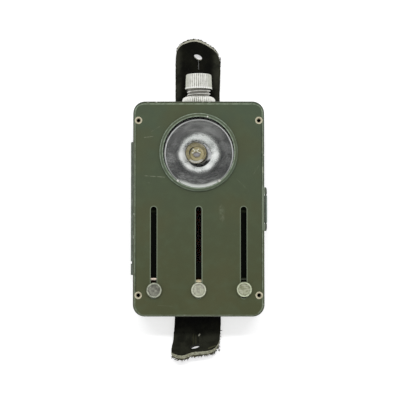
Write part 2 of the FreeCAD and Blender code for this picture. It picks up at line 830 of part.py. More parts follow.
def switch_spring():
    """Return spring between the bushing's pocket and the rod's collar."""
    low = pocket_y + spring_wire_r
    high = cap_inner_top - touch - rod_collar - spring_wire_r
    coil_r = rod_r + 3 * spring_wire_r
    helix = Part.makeHelix((high - low) / spring_coils, high - low, coil_r)
    turns = [math.pi * i / 2 for i in range(4)]
    corners = [Vec(coil_r + spring_wire_r * math.cos(a), 0, spring_wire_r * math.sin(a)) for a in turns]
    section = Part.makePolygon(corners + corners[:1])
    coil = Part.Wire(helix).makePipeShell([section], True, False)
    coil.Placement = FreeCAD.Placement(Vec(0, low, switch_z), FreeCAD.Rotation(Vec(0, 0, 1), Vec(0, 1, 0)))
    return coil


def switch_leaf():
    """Upright spring leaf that the rod tips toward the socket's lug."""
    top = switch_z + leaf_above_rod
    leaf = block(-leaf_width / 2, leaf_width / 2, leaf_y - leaf_sheet, leaf_y, pivot_z, top)
    return soften(leaf, 1.5, lambda e: e.BoundBox.YLength > leaf_sheet / 2 and e.BoundBox.ZMin > top - 0.01)


# ---------------------------------------------------------------- door and hinge
def rear_door():
    """Shallow tray with the latch's catch ridge on its right wall."""
    door = tray(split, back)
    ridge_x = half_width + catch_height - catch_r
    ridge = rod(catch_r, latch_lever_foot + 1.0, latch_lever_top - 1.0, ridge_x, catch_z)
    ridge = ridge.cut(block(0, half_width - sheet / 2, -case_height, case_height, 0, front))
    door = join([door, ridge])
    for y in strap_rivet_places():
        door = door.cut(disc(strap_rivet_r, 0, split, 0, y))
    for y in door_spring_places():
        door = door.cut(disc(door_spring_rivet_r, 0, split, 0, y))
    return door


def knuckle(y_low, y_high, away, bore):
    """Rolled barrel with the web that joins it to its leaf; away is 1 for the case, -1 for the door."""
    leaf_x = -half_width - hinge_sheet
    barrel = rod(barrel_r, y_low, y_high, hinge_x, split)
    z_low, z_high = sorted((split, split + away * (barrel_r + 0.4)))
    web = block(leaf_x, -half_width, y_low, y_high, z_low, z_high)
    return join([barrel, web]).cut(rod(bore, y_low - 1, y_high + 1, hinge_x, split))


def hinge_leaf(y_low, y_high, away):
    """Flat leaf on the outside of a wall, clear of the other leaf's barrels."""
    near, far = split + away * (barrel_r + 0.3), split + away * hinge_leaf_height
    z_low, z_high = sorted((near, far))
    return block(-half_width - hinge_sheet, -half_width, y_low, y_high, z_low, z_high)


def hinge_case_leaf():
    """Leaf and the two outer knuckles; they hold the pin."""
    return join([hinge_leaf(hinge_bottom, hinge_top, 1),
                 knuckle(hinge_upper, hinge_top, 1, hinge_pin_r),
                 knuckle(hinge_bottom, hinge_lower - hinge_gap, 1, hinge_pin_r)])


def hinge_door_leaf():
    """Leaf and the long middle knuckle, free on the pin."""
    y_low, y_high = hinge_lower, hinge_upper - knuckle_gap
    return join([hinge_leaf(y_low, y_high, -1), knuckle(y_low, y_high, -1, hinge_pin_r + running)])


def hinge_pin():
    """Hinge pin, peened at both ends."""
    return join([rod(hinge_pin_r, hinge_bottom, hinge_top, hinge_x, split),
                 rod(hinge_pin_r + 0.3, hinge_top, hinge_top + 0.3, hinge_x, split),
                 rod(hinge_pin_r + 0.3, hinge_bottom - 0.3, hinge_bottom, hinge_x, split)])


# ---------------------------------------------------------------- latch
def latch_bracket():
    """Plate on the right wall with two ears curled round the latch pin."""
    plate = block(half_width, half_width + latch_bracket_sheet, latch_foot, latch_top,
                  latch_z - latch_bracket_height / 2, latch_z + latch_bracket_height / 2)
    pieces = [plate]
    for y_low, y_high in ((latch_lever_top + knuckle_gap, latch_top),
                          (latch_foot, latch_lever_foot - 4 * knuckle_gap)):
        pieces.append(rod(latch_curl_r, y_low, y_high, latch_x, latch_z))
        pieces.append(block(half_width, latch_x, y_low, y_high, latch_z, latch_z + latch_curl_r))
    return join(pieces).cut(rod(latch_pin_r, -case_height, case_height, latch_x, latch_z))


def latch_pin():
    """Pin through both ears."""
    return rod(latch_pin_r, latch_foot, latch_top, latch_x, latch_z)


def latch_lever():
    """Spring strip curled on the pin, with an inward bend that snaps over the catch ridge."""
    y_low, y_high = latch_lever_foot, latch_lever_top
    snap_x = half_width + catch_height + touch
    snap_z = catch_z - catch_r - 0.2
    strip_x = latch_x - 0.5
    tip_z_low = back - 1.0
    inner = [Vec(strip_x, y_low, latch_z), Vec(strip_x, y_low, snap_z + 3.4), Vec(snap_x, y_low, snap_z),
             Vec(latch_x + lever_tip - 1.0, y_low, tip_z_low)]
    outer = [p + Vec(latch_sheet, 0, 0) for p in reversed(inner)]
    outer[0] = inner[-1] + Vec(0.35, 0, 0.4)
    strip = Part.Face(Part.makePolygon(inner + outer + inner[:1])).extrude(Vec(0, y_high - y_low, 0))
    curl = rod(latch_curl_r, y_low, y_high, latch_x, latch_z)
    return join([strip, curl]).cut(rod(latch_pin_r + running, y_low - 1, y_high + 1, latch_x, latch_z))


# ---------------------------------------------------------------- strap
def bend(start, end, radius):
    """Arc of the strap's middle surface: returns its centre height and its end angle."""
    reach = abs(end - start)
    return strap_thickness / 2 + radius, math.asin(min(reach / radius, 0.999))


def strap_side():
    """Side view of the strap: flat behind the door, both ends curled up."""
    half = strap_thickness / 2
    top_z, top_angle = bend(top_bend_start, strap_top, top_bend_r)
    foot_z, foot_angle = bend(bottom_bend_start, strap_bottom, bottom_bend_r)

    def on_arc(start, centre_z, radius, angle, side, way):
        r = radius + side * half
        return Vec(0, start + way * r * math.sin(angle), centre_z - r * math.cos(angle))

    edges = []
    for side in (1, -1):
        top = [on_arc(top_bend_start, top_z, top_bend_r, top_angle * t, side, 1) for t in (0, 0.5, 1)]
        foot = [on_arc(bottom_bend_start, foot_z, bottom_bend_r, foot_angle * t, side, -1) for t in (0, 0.5, 1)]
        edges += [Part.Arc(*top).toShape(), Part.Arc(*foot).toShape(), Part.makeLine(top[0], foot[0])]
        if side == 1:
            ends = (top[2], foot[2])
        else:
            edges += [Part.makeLine(ends[0], top[2]), Part.makeLine(ends[1], foot[2])]
    return Part.Face(Part.Wire(Part.__sortEdges__(edges)))


def end_cutter(start, end, radius, way, corner):
    """What is cut from one end of the strap to round its two corners, square to the leather there."""
    centre_z, angle = bend(start, end, radius)
    point = Vec(0, start + way * radius * math.sin(angle), centre_z - radius * math.cos(angle))
    along = Vec(0, way * math.cos(angle), math.sin(angle))
    half, reach = strap_width / 2, 3 * strap_thickness
    kept = soften(block(-half, half, -3 * corner, 0, -reach, reach), corner,
                  lambda e: upright(e) and e.BoundBox.YMin > -corner)
    cutter = block(-half - 1, half + 1, -corner, 1, -reach, reach).cut(kept)
    across = Vec(1, 0, 0)
    cutter.Placement = FreeCAD.Placement(point, FreeCAD.Rotation(across, along, across.cross(along), "ZYX"))
    return cutter


def hole_places():
    """Centre, outward normal and slit direction of each buttonhole."""
    places = []
    for start, end, radius, back_off, way in (
            (top_bend_start, strap_top, top_bend_r, top_hole_from_end, 1),
            (bottom_bend_start, strap_bottom, bottom_bend_r, bottom_hole_from_end, -1)):
        centre_z, _ = bend(start, end, radius)
        angle = math.asin((abs(end - start) - back_off) / radius)
        centre = Vec(0, start + way * radius * math.sin(angle), centre_z - radius * math.cos(angle))
        normal = Vec(0, -way * math.sin(angle), math.cos(angle))
        places.append((centre, normal, Vec(0, -way * math.cos(angle), -math.sin(angle))))
    return places


def strap():
    """Leather strip with a slit buttonhole near each end and countersinks for its rivets."""
    solid = strap_side().extrude(Vec(strap_width, 0, 0))
    solid.translate(Vec(-strap_width / 2, 0, 0))
    top_corner = min(strap_top_round, strap_width / 2) - 0.02
    solid = solid.cut(end_cutter(top_bend_start, strap_top, top_bend_r, 1, top_corner))
    solid = solid.cut(end_cutter(bottom_bend_start, strap_bottom, bottom_bend_r, -1, strap_bottom_round))
    reach = 1.5 * strap_thickness
    for centre, normal, along in hole_places():
        solid = solid.cut(Part.makeCylinder(buttonhole_r, 2 * reach, centre - normal * reach, normal))
        slit = Part.makeBox(slit_length, slit_width, 2 * reach, Vec(0, -slit_width / 2, -reach))
        turn = FreeCAD.Rotation(along, normal.cross(along), normal, "ZXY")
        slit.Placement = FreeCAD.Placement(centre, turn)
        solid = solid.cut(slit)
    for y in strap_rivet_places():
        solid = solid.cut(disc(strap_rivet_head_r, -1, strap_rivet_sink + strap_rivet_head, 0, y))
        solid = solid.cut(disc(strap_rivet_r, -1, back + 1, 0, y))
    return solid


def strap_rivet_places():
    """Positions of the two rivets along the strap."""
    return (strap_rivet_spacing / 2, -strap_rivet_spacing / 2)


def strap_rivets():
    """Rivets sunk into the leather and closed over the washers inside the door."""
    top = door_floor + washer_thickness
    rivets = []
    for y in strap_rivet_places():
        rivets.append(drum([(0, strap_rivet_sink), (strap_rivet_head_r - 0.5, strap_rivet_sink),
                            (strap_rivet_head_r, strap_rivet_sink + strap_rivet_head),
                            (strap_rivet_r, strap_rivet_sink + strap_rivet_head), (strap_rivet_r, top),
                            (strap_rivet_r + 0.8, top), (strap_rivet_r + 0.4, top + 0.6), (0, top + 0.6)],
                           Vec(0, y, 0)))
    return Part.makeCompound(rivets)


def strap_washers():
    """Washers under the rivets' inner heads."""
    return Part.makeCompound([
        disc(washer_r, door_floor, door_floor + washer_thickness, 0, y).cut(
            disc(strap_rivet_r, 0, split, 0, y)) for y in strap_rivet_places()])


# ---------------------------------------------------------------- battery spring
def door_spring_places():
    """Rivets at the fixed end of the battery spring."""
    low = -strap_rivet_spacing / 2 + washer_r + 5.0
    return (low,)


def battery_spring():
    """Bowed strip on the door that presses the battery against its stops."""
    low = door_spring_places()[0] - door_spring_foot / 2
    high = low + door_spring_length
    rise = battery_back - slack - door_spring_sheet
    flat = low + door_spring_foot
    crown = (flat + high) / 2

    def line(offset):
        return [Vec(0, low, door_floor + offset), Vec(0, flat, door_floor + offset),
                Vec(0, crown, rise + offset), Vec(0, high, door_floor + offset)]

    lower, upper = line(0), line(door_spring_sheet)
    edges = []
    for run in (lower, upper):
        edges += [Part.makeLine(run[0], run[1]), Part.Arc(run[1], run[2], run[3]).toShape()]
    edges += [Part.makeLine(lower[0], upper[0]), Part.makeLine(lower[3], upper[3])]
    strip = Part.Face(Part.Wire(Part.__sortEdges__(edges))).extrude(Vec(door_spring_width, 0, 0))
    strip.translate(Vec(-door_spring_width / 2, 0, 0))
    for y in door_spring_places():
        strip = strip.cut(disc(door_spring_rivet_r, 0, front, 0, y))
    return strip


def battery_spring_rivet():
    """Flush rivet that holds the battery spring to the door."""
    top = door_floor + door_spring_sheet
    rivets = [drum([(0, back), (door_spring_rivet_r, back), (door_spring_rivet_r, top),
                    (door_spring_rivet_r + 0.8, top), (door_spring_rivet_r + 0.4, top + 0.5),
                    (0, top + 0.6)], Vec(0, y, 0)) for y in door_spring_places()]
    return Part.makeCompound(rivets)


# ---------------------------------------------------------------- write the pieces
pieces = {
    "front_case": front_case(),
    "closing_frame": closing_frame(),
    "guide_pan": guide_pan(),
    "corner_rivets": corner_rivets(),
    "lens_glass": lens_glass(),
    "lens_seal": lens_seal(),
    "lens_retaining_ring": lens_retaining_ring(),
    "reflector": reflector(),
    "bulb_glass": bulb_glass(),
    "bulb_base": bulb_base(),
    "bulb_insulator": bulb_insulator_ring(),
    "bulb_tip": bulb_tip_contact(),
    "bulb_filament": bulb_filament(),
    "bulb_socket": bulb_socket(),
    "socket_insulator": socket_insulator(),
    "bulb_contact_leaf": bulb_contact_leaf(),
    "switch_contact_strip": switch_contact_strip(),
    "contact_board": contact_board(),
    "board_posts": board_posts(),
    "board_screws": board_screws(),
    "battery": battery(),
    "battery_terminals": battery_terminals(),
    "switch_bushing": switch_bushing(),
    "switch_collar": switch_collar(),
    "switch_cap": switch_cap(),
    "switch_plunger": switch_plunger(),
    "plunger_clip": plunger_clip(),
    "switch_spring": switch_spring(),
    "switch_leaf": switch_leaf(),
    "hinge_case_leaf": hinge_case_leaf(),
    "hinge_door_leaf": hinge_door_leaf(),
    "hinge_pin": hinge_pin(),
    "latch_bracket": latch_bracket(),
    "latch_pin": latch_pin(),
    "latch_lever": latch_lever(),
    "rear_door": rear_door(),
    "strap": strap(),
    "strap_rivets": strap_rivets(),
    "strap_washers": strap_washers(),
    "battery_spring": battery_spring(),
    "battery_spring_rivet": battery_spring_rivet(),
}
for place, side, face in (("left", -1, left_plate), ("centre", 0, centre_plate), ("right", 1, right_plate)):
    pieces["filter_frame_" + place] = filter_frame(face, side)
    pieces["filter_" + place] = filter_disc(face)
    pieces["knob_" + place] = knob(face, side * slot_spacing)
    pieces["friction_spring_" + place] = friction_spring(face, side * slot_spacing)

for name, solid in pieces.items():
    solid.exportStep("parts/" + name + ".step")
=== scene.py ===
# %% [markdown]
# # A flat signal lamp, dressed for a studio picture
#
# The lamp is a pressed steel tin painted olive. A round lens sits in a raised rim, three knobs slide
# coloured filters behind it, a knurled button on top flashes the bulb, and a leather strip on the back
# hangs it on a coat. Each step below first says what the piece is on the real lamp and why it is made the
# way it is. All lengths are typed in millimetres and turned into metres when a piece is finished.

import math
import random
from functools import reduce

import bmesh
import bpy
from mathutils import Matrix, Vector, noise


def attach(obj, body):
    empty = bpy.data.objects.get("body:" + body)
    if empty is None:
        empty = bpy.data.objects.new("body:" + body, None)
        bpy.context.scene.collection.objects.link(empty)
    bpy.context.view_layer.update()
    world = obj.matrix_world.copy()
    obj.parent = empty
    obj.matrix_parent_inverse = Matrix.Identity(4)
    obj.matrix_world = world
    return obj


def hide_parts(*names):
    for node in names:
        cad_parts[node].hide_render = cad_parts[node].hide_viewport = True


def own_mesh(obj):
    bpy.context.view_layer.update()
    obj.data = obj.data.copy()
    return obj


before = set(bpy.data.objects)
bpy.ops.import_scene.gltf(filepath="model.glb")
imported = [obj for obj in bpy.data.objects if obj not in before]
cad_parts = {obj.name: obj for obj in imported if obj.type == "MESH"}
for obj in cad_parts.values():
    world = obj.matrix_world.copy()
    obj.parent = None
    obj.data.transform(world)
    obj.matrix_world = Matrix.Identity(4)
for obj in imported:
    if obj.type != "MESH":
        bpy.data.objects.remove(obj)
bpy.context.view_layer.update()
MM = 0.001

# %% [markdown]
# ## Camera
#
# A catalogue picture of a flat object is taken from nearly straight above with a long lens, so that the
# sides hardly show. A camera could be turned by typed angles, but aiming its axis at a point keeps the
# numbers plain.

# %% Aim the camera
def stand(name, data, place=(0, 0, 0), target=None):
    """Put a new object in the scene, and aim its axis at the target if there is one."""
    made = bpy.data.objects.new(name, data)
    made.location = place
    if target is not None:
        made.rotation_euler = (Vector(target) - made.location).to_track_quat("-Z", "Y").to_euler()
    bpy.context.scene.collection.objects.link(made)
    return made


aim = Vector((0.72, 4.675, 39)) * MM
elevation = math.radians(87.3)
distance = 800 * MM
camera_data = bpy.data.cameras.new("camera")
camera_data.lens, camera_data.sensor_width, camera_data.clip_start = 131.6, 36, 0.05
camera_place = aim + distance * Vector((0, -math.cos(elevation), math.sin(elevation)))
bpy.context.scene.camera = stand("camera", camera_data, camera_place, aim)
print("camera stands", round(camera_place.z, 3), "m above the table")

# %% [markdown]
# ## Numbers that vary over a surface
#
# A finish such as worn paint is arithmetic on numbers that change from point to point: how far a point is
# from an edge, and how strong the wear is there. Each Math node could be added and linked by hand, but a
# small class that overloads + - and * lets the same thing be written as a plain expression, and the
# expression lays the nodes.

# %% A socket that does arithmetic
def sign(operation, swapped=False):
    """The method behind a sign such as +: it lays one Math node."""
    def lay(self, *others):
        terms = (*others, self) if swapped else (self, *others)
        return self.nodes.field("Math", {"operation": operation}, dict(enumerate(terms)))
    return lay


class Field:
    """A number that changes over a surface, held as a node socket."""

    __add__ = __radd__ = sign("ADD")
    __mul__ = __rmul__ = sign("MULTIPLY")
    __sub__, __rsub__ = sign("SUBTRACT"), sign("SUBTRACT", swapped=True)
    __pow__, __abs__ = sign("POWER"), sign("ABSOLUTE")
    least, most = sign("MINIMUM"), sign("MAXIMUM")
    sine, arctan2 = sign("SINE"), sign("ARCTAN2")

    def __init__(self, nodes, socket):
        self.nodes, self.socket = nodes, socket

    def __neg__(self):
        return self * -1

    def fade(self, low, high):
        """0 up to low, 1 from high on, with a soft step between them; low may be the larger one."""
        return self.nodes.field("MapRange", {"interpolation_type": "SMOOTHSTEP"},
                                {"Value": self, "From Min": low, "From Max": high})


# %% [markdown]
# ## Finishes
#
# A finish is one Principled shader and the nodes that feed it. Every node comes from one method, which
# sets the node's options first and then its values or links. Patterns read the object's own coordinates,
# in millimetres, so that they have the right scale and stay where they are when a piece moves. A colour
# is built as a painter would: a ground, and thin coats over it, each with a share that says where it
# covers.

# %% A finish and its nodes
def tone(code):
    """Linear colour from a six-digit hex code."""
    parts = [int(code[i:i + 2], 16) / 255 for i in (0, 2, 4)]
    return tuple(c / 12.92 if c <= 0.04045 else ((c + 0.055) / 1.055) ** 2.4 for c in parts) + (1,)


class Nodes:
    """The node tree of a material or a world."""

    def __init__(self, owner):
        owner.use_nodes = True
        self.tree = owner.node_tree
        self.tree.nodes.clear()

    def feed(self, socket, value):
        """Link a socket to a field or to another socket, or give it a plain value or a hex colour."""
        if isinstance(value, Field):
            value = value.socket
        if isinstance(value, bpy.types.NodeSocket):
            self.tree.links.new(value, socket)
        else:
            socket.default_value = tone(value) if isinstance(value, str) else value

    def node(self, kind, settings=None, inputs=None):
        made = self.tree.nodes.new("ShaderNode" + kind)
        for key, value in (settings or {}).items():
            setattr(made, key, value)
        for key, value in (inputs or {}).items():
            self.feed(made.inputs[key], value)
        return made

    def field(self, kind, settings=None, inputs=None, output=0):
        return Field(self, self.node(kind, settings, inputs).outputs[output])


finishes = {}


class Finish(Nodes):
    """A material under construction, kept in finishes under its name."""

    def __init__(self, name, **plain):
        self.material = bpy.data.materials.new(name)
        super().__init__(self.material)
        self.shader = self.node("BsdfPrincipled")
        self.node("OutputMaterial", inputs={"Surface": self.shader.outputs[0]})
        here = self.node("TexCoord").outputs["Object"]
        self.place = self.node("VectorMath", {"operation": "SCALE"}, {0: here, "Scale": 1 / MM}).outputs[0]
        self.set(**plain)
        finishes[name] = self

    def axes(self):
        """The point's own x, y and z on the object, in millimetres."""
        return [Field(self, socket) for socket in self.node("SeparateXYZ", {}, {0: self.place}).outputs]

    def stretched(self, shares):
        """The place with its axes scaled, for streaks and grain."""
        if shares is None:
            return self.place
        return self.node("VectorMath", {"operation": "MULTIPLY"}, {0: self.place, 1: shares}).outputs[0]

    def grain(self, size, detail=3, rough=0.55, stretch=None):
        """Cloudy noise from about 0.3 to 0.7 whose blotches are size millimetres across."""
        return self.field("TexNoise", {}, {"Vector": self.stretched(stretch), "Scale": 1 / size,
                                           "Detail": detail, "Roughness": rough})

    def cells(self, size, feature="F1", stretch=None):
        return self.field("TexVoronoi", {"feature": feature},
                          {"Vector": self.stretched(stretch), "Scale": 1 / size}, "Distance")

    def layers(self, ground, *coats):
        """A ground colour under its coats; each coat is a share from 0 to 1 and a colour."""
        for share, colour in coats:
            ground = self.node("Mix", {"data_type": "RGBA"}, {0: share, 6: ground, 7: colour}).outputs[2]
        return ground

    def bump(self, height, depth, strength, below=None):
        """Small relief, depth in millimetres."""
        inputs = {"Height": height, "Distance": depth * MM, "Strength": strength}
        if below is not None:
            inputs["Normal"] = below
        return self.node("Bump", {}, inputs).outputs[0]

    def set(self, **values):
        for key, value in values.items():
            self.feed(self.shader.inputs[key.replace("_", " ")], value)


def away(x, y, place):
    """Distance of a point from a place."""
    return ((x - place[0]) ** 2 + (y - place[1]) ** 2) ** 0.5


def scratch(x, y, ax, ay, bx, by, width, share):
    """A straight scratch from a to b: share along its middle, 0 beyond its width."""
    length = math.hypot(bx - ax, by - ay)
    ux, uy = (bx - ax) / length, (by - ay) / length
    along = (x - ax) * ux + (y - ay) * uy
    across = abs((y - ay) * ux - (x - ax) * uy)
    beyond = (-along).most(along - length).most(0)
    return (across + beyond).fade(width, 0.25 * width) * share


def strongest(fields):
    return reduce(Field.most, fields)


# %% [markdown]
# ## Olive paint
#
# Service paint is sprayed thick and then handled for decades. It is mottled in two greens, a little
# glossy, and rubbed thin where the sheet turns: along the folds, on the raised rim and beside the slots.
# The wear is found from distances to those places, so it always lies where the sheet would really rub.
# The light lines on the folds and the rim are partly painted highlights, stronger where the light falls
# from above, and the turned-down folds and the slot walls are darkened with painted shade.

# %% Measures of the case
half_width, half_height, corner_r = 36, 59, 6.5
front_z, split_z, sheet = 39, 12, 0.8
lens_y = 30.8
slot_xs, slot_half, slot_low, slot_high = (-24.6, 0, 24.6), 1.55, -48.95, 1
slot_middle = (slot_low + slot_high) / 2
knob_places = {"left": (-24.25, -44.6), "centre": (0, -44.45), "right": (24.8, -44.15)}
bowl_at = bowl_x, bowl_y = 0.15, lens_y - 0.15     # the reflector sits a little off the lens axis
rivet_places = [(x, y) for y in (48.4, -47.4) for x in (-33, 33)]
switch_z = 21                                      # height of the press switch's axis

# %% Paint
def edge_distance(x, y):
    """How far a point lies inside the rounded outline of the case."""
    qx = abs(x) - (half_width - corner_r)
    qy = abs(y) - (half_height - corner_r)
    outside = away(qx.most(0), qy.most(0), (0, 0))
    return corner_r - outside - qx.most(qy).least(0)


def slot_distance(x, y, slot_x):
    """How far a point lies outside (or, below zero, inside) a round-ended slot."""
    beyond = (abs(y - slot_middle) - ((slot_high - slot_low) / 2 - slot_half)).most(0)
    return away(x, beyond, (slot_x, 0)) - slot_half


def olive_paint():
    paint = Finish("olive_paint", Specular_IOR_Level=0.3)
    x, y, z = paint.axes()
    broad, cloud, fine = paint.grain(30), paint.grain(6.5, 4), paint.grain(0.5, 2)
    patchy = paint.grain(2.2, 5, 0.7)
    # the folds of the case, and the lower fold of the door
    front = z.fade(36.5, 38)
    inward = edge_distance(x, y)
    fold = inward.fade(1.3, 0.4) * front
    low_fold = abs(z - 4.1).fade(1.1, 0.3)
    top_edge, low_edge = y.fade(56, 57.4), y.fade(-56.5, -57.8)
    corner = (abs(x) - 28).fade(0, 3) * y.fade(50.5, 54)
    # a light line just inside the folds, partly rubbed paint and partly a painted highlight
    fold_line = abs(inward - 1.1 - top_edge * 0.45 + low_edge * 0.35).fade(0.45, 0.12) * front
    # painted shade on the outer turn of the folds, wider and darker along the top edge
    turned_down_shade = (inward - top_edge * 0.25).fade(0.8, 0.35) * z.fade(34, 36.5)
    # the raised rim has two light lines, rubbed paint and painted highlights; the outer one is brighter at
    # the upper left, where the light falls
    from_lens = away(x, y, (0, lens_y))
    upper_left = (y - lens_y - x).fade(-22, 6)
    outer_line = abs(from_lens - 21.3).fade(0.4, 0.12) * (0.35 + upper_left * 0.65)
    inner_line = abs(from_lens - 19.75).fade(0.36, 0.12) * 0.85
    rim = outer_line.most(inner_line) * z.fade(39.6, 40.4) * (0.35 + patchy.fade(0.34, 0.6) * 0.65)
    # the slots' lips are rubbed; their cut walls are painted dark, a painted shade
    outside = [slot_distance(x, y, slot_x) for slot_x in slot_xs]
    lips = strongest(abs(out - 0.28).fade(0.34, 0.05) * wear for out, wear in zip(outside, (0.65, 0.8, 0.6)))
    slot_wall_shade = strongest(out.fade(0.16, 0.06) for out in outside) * z.fade(front_z, front_z - 0.14)
    latch_rub = x.fade(34.2, 34.7) * abs(y).fade(13, 11) * z.fade(37.4, 38.2) * 0.5
    # the fold line is stronger along the top edge and top corners and weaker at the bottom: a painted
    # highlight lit from above
    wear_and_highlight = fold_line * (0.3 + patchy.fade(0.34, 0.58) * 0.7)
    wear_and_highlight = wear_and_highlight * (0.68 + top_edge.most(corner) * 0.3 - low_edge * 0.2)
    wear_and_highlight = wear_and_highlight.most(low_fold * patchy.fade(0.42, 0.62) * 0.6)
    wear_and_highlight = wear_and_highlight.most(lips * front * patchy.fade(0.2, 0.42)).most(latch_rub)
    # chips down to the grey primer, only where the sheet turns
    chipped = fold.most(low_fold).most(rim * 0.7) * paint.cells(3.1).fade(0.24, 0.12)
    chipped = chipped * paint.grain(9).fade(0.52, 0.62)
    # handling scratches
    lines = ((-29.8, 39, -25, 39.6, 0.3, 0.8), (-29.6, 18, -18.6, 17.2, 0.3, 1),
             (-26, 42.2, -21.5, 45, 0.25, 0.4), (12.5, 1, 12.8, -6, 1.9, 0.3),
             (-27.8, 14.2, -24, 13.4, 0.2, 0.4), (20.6, 16.4, 27.5, 9.5, 0.2, 0.3),
             (-22.5, -52.8, -14, -53.4, 0.2, 0.3), (29.8, 18.5, 33, 23.5, 0.25, 0.4),
             (35.1, 22.6, 35.2, 19.6, 0.4, 1.6))
    marks = strongest(scratch(x, y, *line) for line in lines) * front * patchy.fade(0.36, 0.62)
    # in the coats below, the darker folds and slot walls are painted shade and the lighter rim top (6c7a6c) a
    # painted highlight
    colour = paint.layers(
        "43472a", (y.fade(-62, 58), "434f3c"), (broad.fade(0.42, 0.62) * 0.55, "4a4b2f"),
        (cloud.fade(0.42, 0.7) * 0.4, "4c5740"), (fine.fade(0.35, 0.72) * 0.25, "363d2a"),
        (turned_down_shade * (0.3 + top_edge * 0.4), "262d1c"), (z.fade(39.9, 40.8) * 0.18, "6c7a6c"),
        (wear_and_highlight, "87937f"), (rim, "9caa98"), (chipped, "a9aba0"), (marks * 0.5, "9aa08a"), (slot_wall_shade, "0c0f0a"))
    relief = paint.bump(paint.grain(1.1), 0.035, 0.55)
    paint.set(Base_Color=colour, Roughness=0.36 + cloud.fade(0.3, 0.7) * 0.14 + wear_and_highlight * 0.05,
              Normal=paint.bump(1 - chipped, 0.06, 0.6, relief))
    return paint


print("olive paint:", len(olive_paint().tree.nodes), "nodes")

# %% [markdown]
# ## Bare and plated metals
#
# Metal shows what stands round it, so its own pattern is mostly in the roughness: fine brushing, pits and
# a dull film. One maker serves the plain ones, with a colour, a roughness and the direction of the
# brushing. The knurled pieces hold dirt and painted shade in their valleys, with painted shade on their
# sides, and the threaded neck is darker at the root of its thread.

# %% Metals
def metal(name, colour, dull, rough, streak=(1, 1, 1)):
    made = Finish(name, Metallic=1)
    film, brushed = made.grain(1.6, 4, 0.6), made.grain(0.35, 3, 0.6, streak)
    spots = made.grain(0.55, 2).fade(0.6, 0.7)
    made.set(Base_Color=made.layers(colour, (film.fade(0.35, 0.68), dull), (spots * 0.2, "3a3832")),
             Roughness=rough + film.fade(0.3, 0.7) * 0.1 + spots * 0.1,
             Normal=made.bump(brushed - spots * 0.5, 0.006, 0.5))


def knurled_metal(name, count, colour, dark_coat, rough, width, shade):
    """Satin nickel whose rib valleys hold dirt and painted shade; the ribs stand round the switch's axis."""
    made = Finish(name, Metallic=1)
    x, y, z = made.axes()
    valley = 1 - abs(((z - switch_z).arctan2(x) * (count / 2)).sine())
    film, fine = made.grain(2.2), made.grain(0.3, 2)
    # a painted highlight: a white line along the cap's foot
    foot_highlight = abs(y - 68.15).fade(0.45, 0.1)
    # the sides are painted darker (a3a695) as painted shade, and the valleys darker with dirt and painted
    # shade
    mix = made.layers(colour, (film.fade(0.4, 0.7) * 0.4, "c4c3bb"), (abs(x).fade(3, 7.6) * shade, "a3a695"),
                      (valley.fade(width, 0.95) * (0.5 + film.fade(0.35, 0.65) * 0.4), dark_coat),
                      (foot_highlight * 0.55, "ffffff"))
    made.set(Base_Color=mix, Roughness=rough + fine.fade(0.3, 0.7) * 0.1, Normal=made.bump(fine, 0.006, 0.5))


def threaded_metal(name):
    """Dull plating, plain on the crests of the thread and darker at its root."""
    made = Finish(name, Metallic=1, Roughness=0.42)
    x, _, z = made.axes()
    root = away(x, z, (0, switch_z)).fade(6.2, 5.98)
    film = made.grain(1.6, 4, 0.6)
    made.set(Base_Color=made.layers("d4d3cd", (film.fade(0.35, 0.68), "b4b3ab"), (root * 0.8, "63625b")),
             Normal=made.bump(film, 0.006, 0.5))


threaded_metal("neck_nickel")
knurled_metal("cap_nickel", 36, "efefe9", "6c6b63", 0.38, 0.4, 0.75)
knurled_metal("nut_nickel", 48, "fffffa", "85877a", 0.4, 0.45, 0.2)
for row in (("bare_metal", "c9c9c4", "b2b1aa", 0.36), ("bright_metal", "d0d0cb", "b8b8b0", 0.26),
            ("spring_steel", "8f8f89", "6d6a62", 0.35, (0.2, 1, 1)), ("brass", "c8a25c", "94743c", 0.3),
            ("copper_strip", "d9b48a", "a8784c", 0.32, (0.2, 1, 1)), ("solder", "b9bab8", "8d8e8c", 0.42)):
    metal(*row)

# %% Plain paints and plastics
def painted(name, colour, worn, rough, amount=0.35, gloss=0.5):
    """Plain stoved or sprayed colour with light handling wear."""
    made = Finish(name, Specular_IOR_Level=gloss)
    cloud, fine = made.grain(4, 4), made.grain(0.4, 2)
    made.set(Base_Color=made.layers(colour, (cloud.fade(0.45, 0.72) * amount, worn)),
             Roughness=rough + fine.fade(0.3, 0.7) * 0.12, Normal=made.bump(fine, 0.02, 0.4))


def shaded(name, inner, outer, low, high):
    """Worn paint whose tone changes from the wall outward as painted shade."""
    made = Finish(name, Roughness=0.5, Specular_IOR_Level=0.25)
    made.set(Base_Color=made.layers(inner, (made.axes()[0].fade(low, high), outer),
                                    (made.grain(1.8, 4).fade(0.5, 0.7) * 0.35, "7d8578")))


